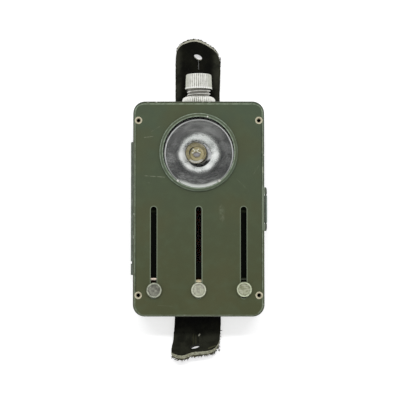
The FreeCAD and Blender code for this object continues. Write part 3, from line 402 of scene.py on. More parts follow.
# painted shade: the lever is dark next to the wall and light outward, the ears light next to the wall and
# dark at their outer edge
shaded("latch_paint", "2a3324", "808b82", 37.1, 37.5)
shaded("ear_paint", "929b8a", "262d20", 36.9, 37.5)
for row in (
    ("inner_steel", "23281d", "343a2a", 0.75, 0.35, 0.04), ("hinge_paint", "5f685b", "848c80", 0.5, 0.7, 0.3),
    ("dark_plate", "060805", "0e110b", 0.55, 0.4, 0.05), ("black_rubber", "161615", "2c2b28", 0.7),
    ("black_plastic", "101010", "252422", 0.25), ("battery_wrap", "b9ab8a", "8f7f5f", 0.55),
    ("rivet_paint", "c3bda4", "8f8a70", 0.5, 0.7), ("bulb_cement", "b4aa82", "8a8058", 0.5, 0.8),
    ("bulb_bead", "98959a", "6c6a68", 0.3, 0.6), ("bulb_wire", "fffff2", "c8c4a8", 0.35, 0.3),
    ("aged_socket", "8b8980", "a5a398", 0.5, 0.6, 0.3), ("aged_brass", "3c3220", "5a4828", 0.6, 0.5, 0.2),
    ("strap_fray", "3a3827", "716d53", 0.9, 0.7, 0.05),
):
    painted(*row)
print("finishes so far:", sorted(finishes))

# %% [markdown]
# ## Mirror, glass, filters and board
#
# The reflector is spun aluminium with a thin haze of fine turning lines. The lens and the bulb are clear
# glass, which a small alpha shows better than real refraction at this size, because the light still gets
# through to what is behind. The contact board is brown pressed paper, with short fibres in it.

# %% Mirror
def mirror_metal():
    """Bright round the bulb, tarnished farther out; painted reflections, light band and black shade."""
    made = Finish("mirror_metal", Specular_IOR_Level=0.1)
    x, y = made.axes()[:2]
    radius, up = away(x, y, bowl_at), y - bowl_y
    lines = made.field("TexNoise", {"noise_dimensions": "1D"}, {"W": radius * 2.4, "Detail": 3})
    haze, strokes = made.grain(3, 5, 0.7), made.grain(0.8, 4, 0.65, (0.22, 1, 1))
    bands, specks = made.grain(6, 3, 0.5, (0.35, 1, 1)), made.grain(0.42, 2)
    ring = away(x, y, (bowl_x, bowl_y + 0.8)) + (haze - 0.5) * 1.2 - abs(y - 30).fade(4, 1) * 0.6
    dull = ring.fade(9.6, 12.2)
    # the grey outer zone: tarnish with painted reflection, lighter towards the top, darker on the right and
    # just outside the bright ring
    tarnish_and_painted_reflection = made.layers(
        "646665", (up.fade(-14, 15), "a4a6a5"), (strokes.fade(0.4, 0.68) * 0.5, "c0c2c1"),
        (bands.fade(0.42, 0.6) * 0.6, "3c3d3e"), (radius.fade(14.8, 12) * 0.6, "444645"),
        (x.fade(2, 12) * 0.35, "444645"), (specks.fade(0.66, 0.72) * 0.5, "d8dad8"))
    # painted reflections, where the ring throws the light back at full strength: x, y, size, share
    spots = ((9, 30.4, 5, 1), (-9, 30.2, 6.6, 1), (-5.7, 24, 4.6, 1),
             (5.3, 23.8, 4.8, 1), (-0.5, 22, 3.5, 0.5), (1.2, 40.6, 4.4, 0.25))
    lit = strongest(away(x, y, spot).fade(size, 0) * share for *spot, size, share in spots)
    # painted grey reflections on the right of the bright ring: x, y, size
    grey_reflections = ((6.6, 35.4, 3), (7.4, 31.8, 1.6))
    grey = [away(x, y, spot).fade(size, size * 0.3) * 0.45 for *spot, size in grey_reflections]
    polish_and_reflections = made.layers("d2d6d3", (haze.fade(0.4, 0.75) * 0.3, "b0b4b1"), (lit, "fcfefc"),
                        *[(share, "7c807e") for share in grey])
    # a painted light band low on the inside, and a painted highlight along the rim, stronger towards the top
    painted_light_band = radius.fade(16.4, 17.9) * radius.fade(19, 18.8) * up.fade(-13.2, -16.6)
    bright = abs(radius - 18.72).fade(0.45, 0.2) * (0.35 + up.fade(-12, 4) * 0.65)
    # painted shade: the flange at the edge is painted black
    shaded_flange = radius.fade(18.95, 19.1)
    mix = made.layers(polish_and_reflections, (dull, tarnish_and_painted_reflection), (painted_light_band, "dfe3de"), (bright, "fcfefc"), (shaded_flange, "040503"))
    matt = (dull * 0.6).most(lit * 0.75) + painted_light_band * 0.4 + bright * 0.6
    made.set(Base_Color=mix, Metallic=(1 - matt).most(0) * (1 - shaded_flange),
             Roughness=0.16 + haze.fade(0.45, 0.8) * 0.08 + dull * 0.14 + shaded_flange * 0.5,
             Normal=made.bump(lines, 0.0012, 0.35))


mirror_metal()

# %% Glass, filters and board
def clear(name):
    """Thin clear glass: all that it adds is its reflection, stronger at a glancing angle."""
    made = Finish(name, Metallic=1, Base_Color="ffffff")
    smear = made.grain(5)
    facing = made.field("LayerWeight", {}, {"Blend": 0.5}, "Facing")
    made.set(Alpha=facing ** 5 * 0.9 + 0.008 + smear.fade(0.5, 0.8) * 0.01,
             Roughness=0.03 + smear.fade(0.4, 0.8) * 0.05)


def stained(name, colour, edge):
    """Deep coloured glass, dark where nothing bright lies behind it."""
    made = Finish(name, IOR=1.12, Transmission_Weight=1)
    cloud = made.grain(4)
    made.set(Base_Color=made.layers(colour, (cloud.fade(0.35, 0.7), edge)),
             Roughness=0.04 + cloud.fade(0.4, 0.8) * 0.04)


def browned(name):
    """Old bulb glass: clear on top, filmed tan low down, a painted dark brown rim and a painted highlight."""
    made = Finish(name, IOR=1.2)
    x, y, z = made.axes()
    facing = made.field("LayerWeight", {}, {"Blend": 0.5}, "Facing")
    film = made.grain(1.6, 4)
    out = away(x, y, (-1.43, lens_y + 0.72))
    low = z.fade(27.5, 25.5)
    # a painted highlight: a white arc low on the globe
    shine = abs(out - 5.2).fade(0.45, 0.15) * (y - lens_y).fade(-2.6, -3.7)
    # the dark brown ring (2a2418) along the globe's outline seen from the front is painted shade
    mix = made.layers("d4caa4", (film.fade(0.38, 0.62), "a59a70"), (out.fade(5.6, 5.95), "2a2418"),
                      (shine, "fcfcf6"))
    alpha = (facing.fade(0.5, 0.85) * 0.85).most(low * (0.65 + film.fade(0.4, 0.7) * 0.3)).most(shine * 0.9)
    made.set(Base_Color=mix, Alpha=alpha.most(0.04), Roughness=0.05 + film * 0.04 + low * 0.3)


clear("clear_glass")
browned("browned_glass")
stained("red_filter", "3a0404", "2c0303")
stained("amber_filter", "b85c08", "a04c06")
stained("green_filter", "0a6a2c", "085824")
board = Finish("board")
fibres = board.grain(0.8, 4, 0.6, (0.25, 1, 1))
board.set(Base_Color=board.layers("6b3f22", (fibres.fade(0.35, 0.68), "8a5a34")),
          Roughness=0.35 + fibres * 0.2, Normal=board.bump(fibres, 0.02, 0.5))
print("mirror, glass and board ready")

# %% Small finishes of single pieces
def handled(side, colour, dull, rim, streaks):
    """A knob's face: plating gone cloudy, with strokes across it, a lighter rim and a darker ring inside."""
    made = Finish("knob_" + side, Metallic=0.85)
    x, y = made.axes()[:2]
    middle = knob_places[side]
    out = away(x, y, middle)
    cloud, strokes = made.grain(1.5), made.grain(0.9, 3, 0.6, streaks)
    mix = made.layers(colour, ((cloud + (y - middle[1]) * 0.03).fade(0.36, 0.66), dull),
                      (strokes.fade(0.5, 0.68) * 0.4, "d4d5c6"),
                      (abs(out - 3.75).fade(0.6, 0.25) * (0.45 + cloud.fade(0.65, 0.4) * 0.55), rim),
                      (abs(out - 3.05).fade(0.3, 0.1) * 0.35, "55564c"))
    made.set(Base_Color=mix, Roughness=0.36 + cloud.fade(0.3, 0.7) * 0.12,
             Normal=made.bump(strokes, 0.02, 0.5))


def sliver(side, bright, shade, high, low):
    """The sprung end of a friction spring: bare and a painted highlight where it rubs, painted brown shade
    beyond.
    """
    made = Finish("sliver_" + side, Specular_IOR_Level=0)
    y = made.axes()[1]
    # between low and high the strip is bare where its bend catches the light, a painted highlight; beyond,
    # painted shade
    wear_and_highlight = y.fade(low - 0.15, low + 0.15) * y.fade(high + 0.15, high - 0.15)
    lit = made.layers(bright, (made.grain(0.8).fade(0.35, 0.7) * 0.12, shade))
    made.set(Base_Color=made.layers(shade, (wear_and_highlight, lit)), Roughness=0.9 - wear_and_highlight * 0.45,
             Metallic=wear_and_highlight * 0.35)


def socket_rim(name):
    """Bright tin, painted black at its lower and left side as painted shade."""
    made = Finish(name, Roughness=0.5, Specular_IOR_Level=0.3)
    x, y = made.axes()[:2]
    # painted shade: black at the lower and left side
    dark_coat = (x * 0.1 - (y - lens_y)).fade(2.6, 4.4).most(x.fade(2, -2))
    made.set(Base_Color=made.layers("d6d8da", (made.grain(1.4).fade(0.35, 0.68), "a9abad"), (dark_coat, "040403")))


handled("left", "85867a", "62625a", "b4b9a6", (1, 0.35, 1))
handled("centre", "b0b39d", "979589", "cdd0bb", (1, 0.25, 1))
handled("right", "a8ac93", "84876d", "c6ceb2", (0.25, 1, 1))
sliver("left", "f2e2d0", "150a02", -38, -39.35)
sliver("centre", "fff2cc", "140c02", -38.9, -40.2)
sliver("right", "50554a", "23271c", -38.4, -39.8)
socket_rim("socket_lip")
print("single finishes ready")

# %% [markdown]
# ## Leather
#
# The strip is thick harness leather, dyed black on the surface only. Where it was cut, the undyed fibres
# show as a rough grey-tan band. The dyed face has pores, faint creases and a slight polish from rubbing,
# the cut edge is matt and loose, so they are two finishes on one piece.

# %% Leather
leather = Finish("black_leather", Specular_IOR_Level=0.05)
x, y = leather.axes()[:2]
pores, creases = leather.cells(0.55), leather.cells(2.6, "DISTANCE_TO_EDGE", (1, 0.6, 1))
worn, scuff = leather.grain(7, 5, 0.6), leather.grain(1.2, 5, 0.75, (1, 0.3, 1))
foot_end = y.fade(-62, -74)
sides = abs(x + 1).fade(7.5, 11.5) * y.fade(56, 62)
ends = foot_end.most(y.fade(60, 96) * 0.5)
# a dark crease above the lower buttonhole, two streaks beside it, a stretched line and a fleck
marks = ((-0.4, -71.5, -0.4, -77.6, 0.3, 1, "020201"), (-3, -69.8, -3.2, -76.2, 0.4, 0.5, "3f3f2a"),
         (-1.7, -70.6, -1.7, -76.6, 0.4, 0.5, "3f3f2a"), (5.4, -77.9, 9.5, -76.4, 0.45, 0.7, "5c5c45"),
         (0.1, -70.9, 0.6, -70, 0.5, 1, "a3a396"))
dye = leather.layers("050504", (worn.fade(0.42, 0.7), "12120c"), (ends.most(sides) * 0.5, "20211b"),
                     ((foot_end * 0.85).most(sides) * (0.2 + worn.fade(0.36, 0.6) * 0.6), "35362d"),
                     (scuff.fade(0.6, 0.74) * (0.1 + ends * 0.3), "3a392c"),
                     *[(scratch(x, y, *line), colour) for *line, colour in marks])
relief = leather.bump(creases.fade(0, 0.12), 0.08, 0.35, leather.bump(pores.fade(0.1, 0.6), 0.05, 0.5))
leather.set(Base_Color=dye, Roughness=0.52 + scuff.fade(0.4, 0.7) * 0.2, Normal=relief)

cut_edge = Finish("leather_cut_edge", Roughness=0.95, Specular_IOR_Level=0.15)
strands = cut_edge.grain(0.35, 4, 0.7, (1, 1, 0.6))
bare = cut_edge.layers("808069", (strands.fade(0.35, 0.66), "d2d2bb"),
                       (cut_edge.grain(2.4, 4, 0.6).fade(0.5, 0.66) * 0.6, "939278"),
                       (cut_edge.axes()[1].fade(60, 85) * 0.4, "dcdacc"),
                       (cut_edge.grain(0.9).fade(0.54, 0.64) * 0.6, "2a2820"))
cut_edge.set(Base_Color=bare, Normal=cut_edge.bump(strands, 0.25, 0.8))
print("leather:", len(leather.tree.nodes), "nodes on the face,", len(cut_edge.tree.nodes), "on the cut edge")

# %% [markdown]
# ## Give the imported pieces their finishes
#
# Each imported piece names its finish, so the finishes built above go to all of them in one pass; a few
# aged pieces have their own. Pieces whose outline needs softening or detail are replaced further down.

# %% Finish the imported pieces
def slot_of(node):
    """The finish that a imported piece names."""
    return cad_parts[node].data.materials[0].name.split(".")[0]


# the lens's retaining ring is given the black dark_plate paint, a painted shade in the gap under the rim
own = {"bulb_base": "aged_brass", "bulb_socket": "aged_socket", "lens_retaining_ring": "dark_plate"}
own.update({"friction_spring_" + side: "sliver_" + side for side in knob_places})
for name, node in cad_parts.items():
    node.data.materials[0] = finishes[own.get(name) or slot_of(name)].material
print("finishes given to", len(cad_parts), "packed pieces")

# %% [markdown]
# ## From a mesh to a piece of the lamp
#
# A piece is built with mesh operators in millimetres. This step scales it to metres, makes edges sharp
# where two faces meet at a clear angle and smooth elsewhere, and hangs the piece on the body that it
# moves with.

# %% Move, turn and join shapes
def move(bm, vec, verts=None):
    bmesh.ops.translate(bm, vec=vec, verts=verts or bm.verts)


def scale(bm, vec, verts=None):
    bmesh.ops.scale(bm, vec=vec, verts=verts or bm.verts)


def rotate(bm, matrix, verts=None, centre=(0, 0, 0)):
    bmesh.ops.rotate(bm, cent=centre, matrix=matrix, verts=verts or bm.verts)


def about(axis, degrees):
    return Matrix.Rotation(math.radians(degrees), 3, axis)


def rod(bm, radius, depth, segments, tip=None, capped=True):
    """An upright round bar in the middle; gives its points."""
    return bmesh.ops.create_cone(bm, cap_ends=capped, segments=segments, radius1=radius,
                                 radius2=radius if tip is None else tip, depth=depth)["verts"]


def ball(bm, place, radius, across, down, stretch=(1, 1, 1)):
    made = bmesh.ops.create_uvsphere(bm, u_segments=across, v_segments=down, radius=radius)["verts"]
    scale(bm, stretch, made)
    move(bm, place, made)
    return made


def mesh_of(name, bm):
    """The mesh of a shape, which is used up."""
    mesh = bpy.data.meshes.new(name)
    bm.to_mesh(mesh)
    bm.free()
    return mesh


def take_in(bm, part):
    """Add the points and faces of another shape."""
    carried = mesh_of("carried", part)
    bm.from_mesh(carried)
    bpy.data.meshes.remove(carried)


def turned(points, steps, rounded=None):
    """A half profile of (radius, height) points turned once round Z, seam and poles closed.

    rounded softens one corner: its index, its radius and its segments."""
    bm = bmesh.new()
    verts = [bm.verts.new((r, 0, h)) for r, h in points]
    for pair in zip(verts, verts[1:]):
        bm.edges.new(pair)
    if rounded:
        index, radius, segments = rounded
        bmesh.ops.bevel(bm, geom=[verts[index]], offset=radius, offset_type="OFFSET", segments=segments,
                        profile=0.5, affect="VERTICES", material=-1)
    bmesh.ops.spin(bm, geom=bm.verts[:] + bm.edges[:], cent=(0, 0, 0), axis=(0, 0, 1), angle=2 * math.pi,
                   steps=steps, use_merge=True)
    bmesh.ops.remove_doubles(bm, verts=bm.verts, dist=1e-4)
    bmesh.ops.recalc_face_normals(bm, faces=bm.faces)
    return bm


def put(bm, centre, lay_along_y=False):
    """Move a turned shape to its place, first laid along Y if its axis is the switch's."""
    if lay_along_y:
        rotate(bm, about("X", -90))
    move(bm, centre)
    return bm


# %% Make and dress pieces
def shade(mesh, sharp):
    """Smooth faces, but sharp edges from so many degrees on."""
    mesh.polygons.foreach_set("use_smooth", [True] * len(mesh.polygons))
    mesh.set_sharp_from_angle(angle=math.radians(sharp))


def piece(bm, name, body, finish, replaces=(), sharp=32):
    scale(bm, (MM, MM, MM))
    mesh = mesh_of(name, bm)
    shade(mesh, sharp)
    for one in [finish] if isinstance(finish, str) else finish:
        mesh.materials.append(finishes[one].material)
    made = stand(name, mesh)
    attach(made, body)
    if replaces:
        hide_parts(*replaces)
    print(name + ":", len(mesh.polygons), "faces")
    return made


def add_bevel(made, width, angle=35):
    """Break the piece's sharp edges, as tumbling and paint do."""
    bevel = made.modifiers.new("bevel", "BEVEL")
    bevel.width, bevel.segments = width * MM, 2
    bevel.limit_method, bevel.angle_limit = "ANGLE", math.radians(angle)
    bevel.harden_normals = True


def packed_shape(node, flatten=False):
    """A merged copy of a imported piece, in millimetres."""
    bm = bmesh.new()
    bm.from_mesh(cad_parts[node].data)
    bmesh.ops.remove_doubles(bm, verts=bm.verts, dist=2e-6)
    if flatten:
        bmesh.ops.dissolve_limit(bm, angle_limit=math.radians(0.6), verts=bm.verts, edges=bm.edges)
    scale(bm, (1 / MM, 1 / MM, 1 / MM))
    return bm


def dressed(node, body, width, finish=None):
    """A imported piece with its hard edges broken."""
    slot = slot_of(node)
    made = piece(packed_shape(node, flatten=True), node + "_dressed", body, finish or slot, [node])
    add_bevel(made, width)


# %% [markdown]
# ## The front case
#
# The real case is one steel sheet pressed into a tray, pierced for the slots, the rivets and the neck.
# The tray is made the same way here: a flat rounded face, its border folded down, and a thickness given
# to the sheet. The holes are punched with one Boolean, because a hole through a sheet of even thickness
# is exactly what it makes.

# %% Fold the tray
def rounded_face(bm, width, height, corner, centre, segments):
    """One flat face with rounded corners."""
    made = bmesh.ops.create_grid(bm, x_segments=1, y_segments=1, size=0.5)["verts"]
    scale(bm, (width, height, 1), made)
    move(bm, centre, made)
    bmesh.ops.bevel(bm, geom=made, offset=corner, offset_type="OFFSET", segments=segments, profile=0.5,
                    affect="VERTICES", material=-1)


def points_of(made):
    """The points among what an operator gives back."""
    return [one for one in made["geom"] if isinstance(one, bmesh.types.BMVert)]


tray = bmesh.new()
rounded_face(tray, 2 * half_width, 2 * half_height, corner_r, (0, 0, front_z), 12)
outline = tray.edges[:]
move(tray, (0, 0, split_z - front_z), points_of(bmesh.ops.extrude_edge_only(tray, edges=outline)))
bmesh.ops.bevel(tray, geom=outline, offset=1.6, offset_type="OFFSET", segments=7, profile=0.5, affect="EDGES",
                material=-1)
face = max(tray.faces, key=lambda f: f.calc_area() * f.normal.z ** 2)
bmesh.ops.inset_region(tray, faces=[face], thickness=0.35, use_boundary=True, use_even_offset=True)
bmesh.ops.recalc_face_normals(tray, faces=tray.faces)
if max(tray.faces, key=lambda f: f.calc_area()).normal.z < 0:
    bmesh.ops.reverse_faces(tray, faces=tray.faces)
case = piece(tray, "case_shell", "case", "olive_paint", ["front_case"], 40)
wall = case.modifiers.new("wall", "SOLIDIFY")
wall.thickness, wall.offset, wall.use_even_offset = sheet * MM, -1, True

# %% Punch the holes
def punch(made, tool_bm):
    """Cut closed shapes out of a piece, for good."""
    bmesh.ops.recalc_face_normals(tool_bm, faces=tool_bm.faces)
    scale(tool_bm, (MM, MM, MM))
    tool = stand("tool", mesh_of("tool", tool_bm))
    cut = made.modifiers.new("cut", "BOOLEAN")
    cut.operation, cut.solver, cut.object = "DIFFERENCE", "EXACT", tool
    layer = bpy.context.evaluated_depsgraph_get()
    mesh = bpy.data.meshes.new_from_object(made.evaluated_get(layer), depsgraph=layer)
    made.modifiers.clear()
    made.data = mesh
    bpy.data.objects.remove(tool)


def thicken(bm, low, high):
    """Turn the flat faces drawn so far into closed blocks from low to high."""
    move(bm, (0, 0, low))
    move(bm, (0, 0, high - low), points_of(bmesh.ops.extrude_face_region(bm, geom=bm.faces[:])))


def flat_disc(bm, radius, x, y, segments):
    made = bmesh.ops.create_circle(bm, segments=segments, radius=radius, cap_ends=True)["verts"]
    move(bm, (x, y, 0), made)


holes = bmesh.new()
for slot_x in slot_xs:
    rounded_face(holes, 2 * slot_half, slot_high - slot_low, 1.42, (slot_x, slot_middle, 0), 6)
for x, y in rivet_places:
    flat_disc(holes, 1.35, x, y, 20)
flat_disc(holes, 21, 0, lens_y, 96)
thicken(holes, 37, 41)
neck_tool = rod(holes, 6.5, 4, 48)
rotate(holes, about("X", -90), neck_tool)
move(holes, (0, half_height, switch_z), neck_tool)
punch(case, holes)
add_bevel(case, 0.16, 50)
print("case after punching:", len(case.data.polygons), "faces")

# %% The raised rim
rim_profile = [
    (21.95, 39), (21.72, 39.06), (21.55, 39.22), (21.48, 39.45), (21.46, 39.9), (21.46, 40.5),
    (21.4, 40.83), (21.25, 41.1), (21.02, 41.28), (20.8, 41.36), (20.45, 41.38), (20.1, 41.36),
    (19.78, 41.28), (19.55, 41.13), (19.4, 40.92), (19.38, 40.72), (19.5, 40.6), (20.88, 40.6),
    (20.9, 38.2), (21.3, 38.2), (21.8, 38.7), (21.95, 39),
]
piece(put(turned(rim_profile, 160), (0, lens_y, 0)), "case_rim", "case", "olive_paint",
      sharp=50)

# %% [markdown]
# ## Reflector, bulb and lens
#
# The reflector is a spun bowl whose section is a parabola, so its profile is worked out from the focus
# and turned. The bulb is a round globe on a screw base; it has been changed in the field and leans a
# little, and through the glass one sees the tan basing cement, the bead and the two wires that carry the
# filament.

# %% Spin the reflector
focus, vertex_z, hole_r, bowl_r = 8.8, 22.852, 6.9, 18.9
bowl = [hole_r + (bowl_r - hole_r) * i / 40 for i in range(41)]
bowl = [(r, vertex_z + r * r / (4 * focus)) for r in bowl]
behind = [(r + 0.35, h - 0.15) for r, h in bowl[::-2]]
edge = [(18.98, 33.3), (19.2, 33.52), (19.6, 33.6), (21.5, 33.6), (21.5, 33.2), (19.4, 33.2)]
collar = [(7.3, 16.6), (6.9, 16.6), (6.9, 23.6)]
piece(put(turned(bowl + edge + behind + collar + bowl[:1], 160), (*bowl_at, 0)), "reflector_bowl", "case",
      "mirror_metal", ["reflector"], 40)

# %% Blow the bulb and wire it
def lean(bm):
    """Tip the bulb about its base, toward the upper left."""
    for axis, degrees in (("Y", -7), ("X", -3.5)):
        rotate(bm, about(axis, degrees), centre=(0, 0, 16))
    return put(bm, (0, lens_y, 0))


globe_r, globe_z, stem_r, base_z = 6.25, 27.9, 4.1, 19.2
waist = math.asin(stem_r / globe_r)
arc = [waist + (math.pi - waist) * i / 26 for i in range(26)]
skin = [(globe_r * math.sin(a), globe_z - globe_r * math.cos(a)) for a in arc]
skin = [(0, base_z), (stem_r, base_z), (stem_r, 22.4)] + skin + [(0, globe_z + globe_r)]
piece(lean(turned(skin, 72)), "bulb_globe", "case", "browned_glass", ["bulb_glass"], 60)
cement = [(0, 22.4), (1.3, 22.5), (2, 23.3), (2.9, 23.6), (3.9, 23.1), (4, 19.4), (0, 19.4)]
piece(lean(turned(cement, 48, (3, 0.5, 3))), "bulb_cement", "case", "bulb_cement")


def wire_between(bm, start, end, radius):
    start, end = Vector(start), Vector(end)
    made = rod(bm, radius, (end - start).length, 8)
    rotate(bm, (end - start).to_track_quat("Z", "Y").to_matrix(), made)
    move(bm, (start + end) / 2, made)


wires = bmesh.new()
coil_y, coil_z = 1.15, 29.6
for side in (-1, 1):
    shoulder, tip = (side * 0.5, 0.75, 28.4), (side * 1.5, 1.75, 28.9)
    wire_between(wires, (side * 1.1, 0.2, 21), (side * 2.2, -0.1, 27.4), 0.22)
    wire_between(wires, (side * 2.2, -0.1, 27.3), shoulder, 0.2)
    wire_between(wires, shoulder, tip, 0.18)
    wire_between(wires, tip, (side * 0.1, coil_y, coil_z), 0.09)
    ball(wires, (side * 2.2, -0.1, 27.5), 0.36, 10, 6)
    ball(wires, tip, 0.34, 10, 6)
for turn in range(14):
    ring = rod(wires, 0.26, 0.07, 8, capped=False)
    rotate(wires, about("Y", 90), ring)
    move(wires, (-0.9 + 1.8 * turn / 13, coil_y, coil_z), ring)
piece(lean(wires), "bulb_wires", "case", "bulb_wire", ["bulb_filament"])
bead = bmesh.new()
ball(bead, (0, -0.7, 25.2), 1, 24, 14, (1.9, 1.3, 0.9))
piece(lean(bead), "bulb_bead", "case", "bulb_bead", sharp=60)

# %% The socket's lip and the tips of the ring's tabs
lip_profile = [(5.15, 22.4), (5.15, 22.8), (6, 23.1), (6.85, 23.4), (6.85, 23), (6, 22.7), (5.15, 22.4)]
piece(put(turned(lip_profile, 72), (*bowl_at, 0)), "socket_lip", "case", "socket_lip")
tabs = bmesh.new()
for degrees, out, size in ((-54, 19.35, 1), (-126, 19.35, 0.9), (76, 20.2, 0.8)):
    rotate(tabs, about("Z", degrees), ball(tabs, (out, 0, 41.22), size, 16, 8, (0.75, 0.85, 0.24)))
piece(put(tabs, (0, lens_y, 0)), "ring_tab_tips", "case", "bright_metal", sharp=60)

# %% [markdown]
# ## Knobs and rivets
#
# The knobs are plated discs with a soft rim, each on a flat key that runs in its slot. The three are
# copies of one turned profile, but each has its own finish, because one has worn to dull metal and
# another has gone greenish. The corner rivets are short tubes with a rolled flange.

# %% Turn the knobs
knob_profile = [
    (0, 39.3), (3.6, 39.3), (3.95, 39.55), (4.17, 40), (4.17, 41.6), (4.1, 41.95), (3.92, 42.18),
    (3.7, 42.27), (3.42, 42.25), (3.2, 42.1), (2.95, 41.98), (0, 41.92),
]
for side, plate_z in (("left", 36.1), ("centre", 37.3), ("right", 34.9)):
    knob, key = turned(knob_profile, 72), bmesh.new()
    rounded_face(key, 2.9, 6.4, 1.2, (0, 0, 0), 4)
    thicken(key, plate_z, 39.4)
    bmesh.ops.recalc_face_normals(key, faces=key.faces)
    move(key, (0, 0, plate_z - 0.5), rod(key, 1.1, 1.2, 20))
    take_in(knob, key)
    piece(put(knob, (*knob_places[side], 0)), "knob_" + side + "_turned", "filter_slider_" + side,
          "knob_" + side, ["knob_" + side], 40)

# %% Roll the rivets
rivet_profile = [
    (1, 37.05), (1.85, 37.05), (1.85, 37.4), (1.35, 37.4), (1.35, 39), (2.05, 39), (2.02, 39.14),
    (1.9, 39.25), (1.75, 39.3), (1.55, 39.28), (1.36, 39.16), (1.24, 38.95), (1.16, 38.6), (1, 38.2),
    (1, 37.05),
]
rivets = bmesh.new()
for x, y in rivet_places:
    take_in(rivets, put(turned(rivet_profile, 40), (x, y, 0)))
piece(rivets, "rivet_tubes", "case", "rivet_paint", ["corner_rivets"], 40)

# %% [markdown]
# ## The press switch
#
# The neck is cut with a thread, which is a ridge swept along a helix. Spin does that when each step also
# moves the section up a little. The cap and the nut are turned shapes; their ribs are pressed in
# afterwards by moving the outer points in and out round the axis, which keeps the rounded shoulders of
# the turned profile.

# %% Thread and ribs
def thread(root_r, crest_r, pitch, low, high):
    """A ridge wound round Z."""
    bm = bmesh.new()
    half, steps = pitch / 2, 44
    section = [(root_r - 0.2, low - half), (root_r, low - 0.62 * half), (crest_r, low - 0.26 * half),
               (crest_r, low + 0.26 * half), (root_r, low + 0.62 * half), (root_r - 0.2, low + half)]
    verts = [bm.verts.new((r, 0, h)) for r, h in section]
    for pair in zip(verts, verts[1:] + verts[:1]):
        bm.edges.new(pair)
    count = int(steps * (high - low) / pitch)
    bmesh.ops.spin(bm, geom=bm.verts[:] + bm.edges[:], cent=(0, 0, 0), axis=(0, 0, 1),
                   dvec=(0, 0, pitch / steps), angle=2 * math.pi * count / steps, steps=count)
    bmesh.ops.holes_fill(bm, edges=[e for e in bm.edges if e.is_boundary], sides=0)
    bmesh.ops.recalc_face_normals(bm, faces=bm.faces)
    return bm


def press_ribs(bm, count, depth, low, high, least_r):
    """Ribs round Z between two heights; they run out softly at both ends."""
    soft = 0.6
    for vert in bm.verts:
        radius = math.hypot(vert.co.x, vert.co.y)
        if radius > least_r:
            ends = min(max((vert.co.z - low) / soft, 0), 1) * min(max((high - vert.co.z) / soft, 0), 1)
            valley = 1 - abs(math.sin(count * math.atan2(vert.co.y, vert.co.x) / 2))
            share = 1 - depth * ends * valley / radius
            vert.co.x *= share
            vert.co.y *= share
    return bm


switch_at = (0, half_height, switch_z)
neck_profile = [
    (2.05, -2), (8.5, -2), (8.5, -0.8), (5.9, -0.8), (5.9, 11.8), (5.4, 12.5), (3.9, 12.5), (3.9, 3),
    (2.05, 3), (2.05, -2),
]
piece(put(turned(neck_profile, 72, (2, 0.2, 2)), switch_at, True), "switch_neck", "case", "neck_nickel",
      ["switch_bushing"])
piece(put(thread(5.95, 6.5, 1.7, 0.9, 11.2), switch_at, True), "switch_thread", "case", "neck_nickel",
      sharp=50)

nut_profile = [
    (6.52, 0), (9, 0), (9.22, 0.3), (9.24, 1), (9.24, 1.7), (9.2, 2.3), (9.08, 2.8), (8.85, 3.25),
    (8.5, 3.65), (8.1, 3.95), (7.6, 4.2), (7.2, 4.35), (6.8, 4.35), (6.52, 4.1), (6.52, 0),
]
nut = press_ribs(turned(nut_profile, 480), 48, 0.7, -0.8, 4.3, 7.8)
piece(put(nut, switch_at, True), "switch_nut", "case", "nut_nickel", ["switch_collar"], 50)

cap_profile = [
    (6.85, 8.5), (7.35, 8.5), (7.56, 8.6), (7.6, 8.9), (7.5, 9.25), (7.4, 9.8), (7.34, 11), (7.28, 12.6),
    (7.22, 14.2), (7.15, 15.6), (7.12, 16.1), (7.06, 16.45), (6.9, 16.75), (6.62, 16.92), (6.2, 17),
    (2.7, 17.1), (2.65, 16.7), (1.55, 16.7), (1.55, 15.5), (6.85, 15.5), (6.85, 8.5),
]
cap = press_ribs(turned(cap_profile, 360), 36, 0.55, 9, 17, 6.9)
piece(put(cap, switch_at, True), "switch_cap_turned", "switch_cap", "cap_nickel", ["switch_cap"],
      50)

# %% The return spring
# it keeps its imported shape
coil = packed_shape("switch_spring")
slot = slot_of("switch_spring")
spring = piece(coil, "switch_spring_coiled", "case", slot, ["switch_spring"], 50)
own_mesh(spring)

# %% [markdown]
# ## Hinge, latch, door and sliders
#
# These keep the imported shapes, but a real pressed or bent piece has no razor edges. A merged copy with a
# narrow bevel catches a line of light along each edge, which is what makes sheet metal read as metal.

# %% Dress the plainer pieces
for row in (
    ("hinge_case_leaf", "case", 0.12, "hinge_paint"), ("hinge_door_leaf", "rear_door", 0.12, "hinge_paint"),
    ("hinge_pin", "case", 0.08, "hinge_paint"), ("latch_pin", "case", 0.08, "ear_paint"),
    ("latch_lever", "latch_lever", 0.3, "latch_paint"), ("rear_door", "rear_door", 0.12),
    ("strap_rivets", "rear_door", 0.15),
    *(("filter_frame_" + side, "filter_slider_" + side, 0.12) for side in knob_places),
    ("guide_pan", "case", 0.15), ("closing_frame", "case", 0.1),
):
    dressed(*row)

# %% Curl the latch's ears
ears = bmesh.new()
plate = bmesh.ops.create_cube(ears, size=1)["verts"]
scale(ears, (0.4, 22.6, 10), plate)
move(ears, (36.2, 0.4, 22), plate)
ear_profile = [
    (0.45, 0), (0.85, 0), (0.98, 0.12), (1.04, 0.5), (1.04, 1.8), (0.98, 2.7), (0.84, 3.4), (0.62, 3.95),
    (0.45, 4.1), (0.45, 0),
]
for start, degrees in ((8.5, -90), (-7.8, 90)):
    ear = turned(ear_profile, 40)
    rotate(ear, about("X", degrees))
    take_in(ears, put(ear, (37.05, start, 22)))
add_bevel(piece(ears, "latch_ears", "case", "ear_paint", ["latch_bracket"]), 0.12)

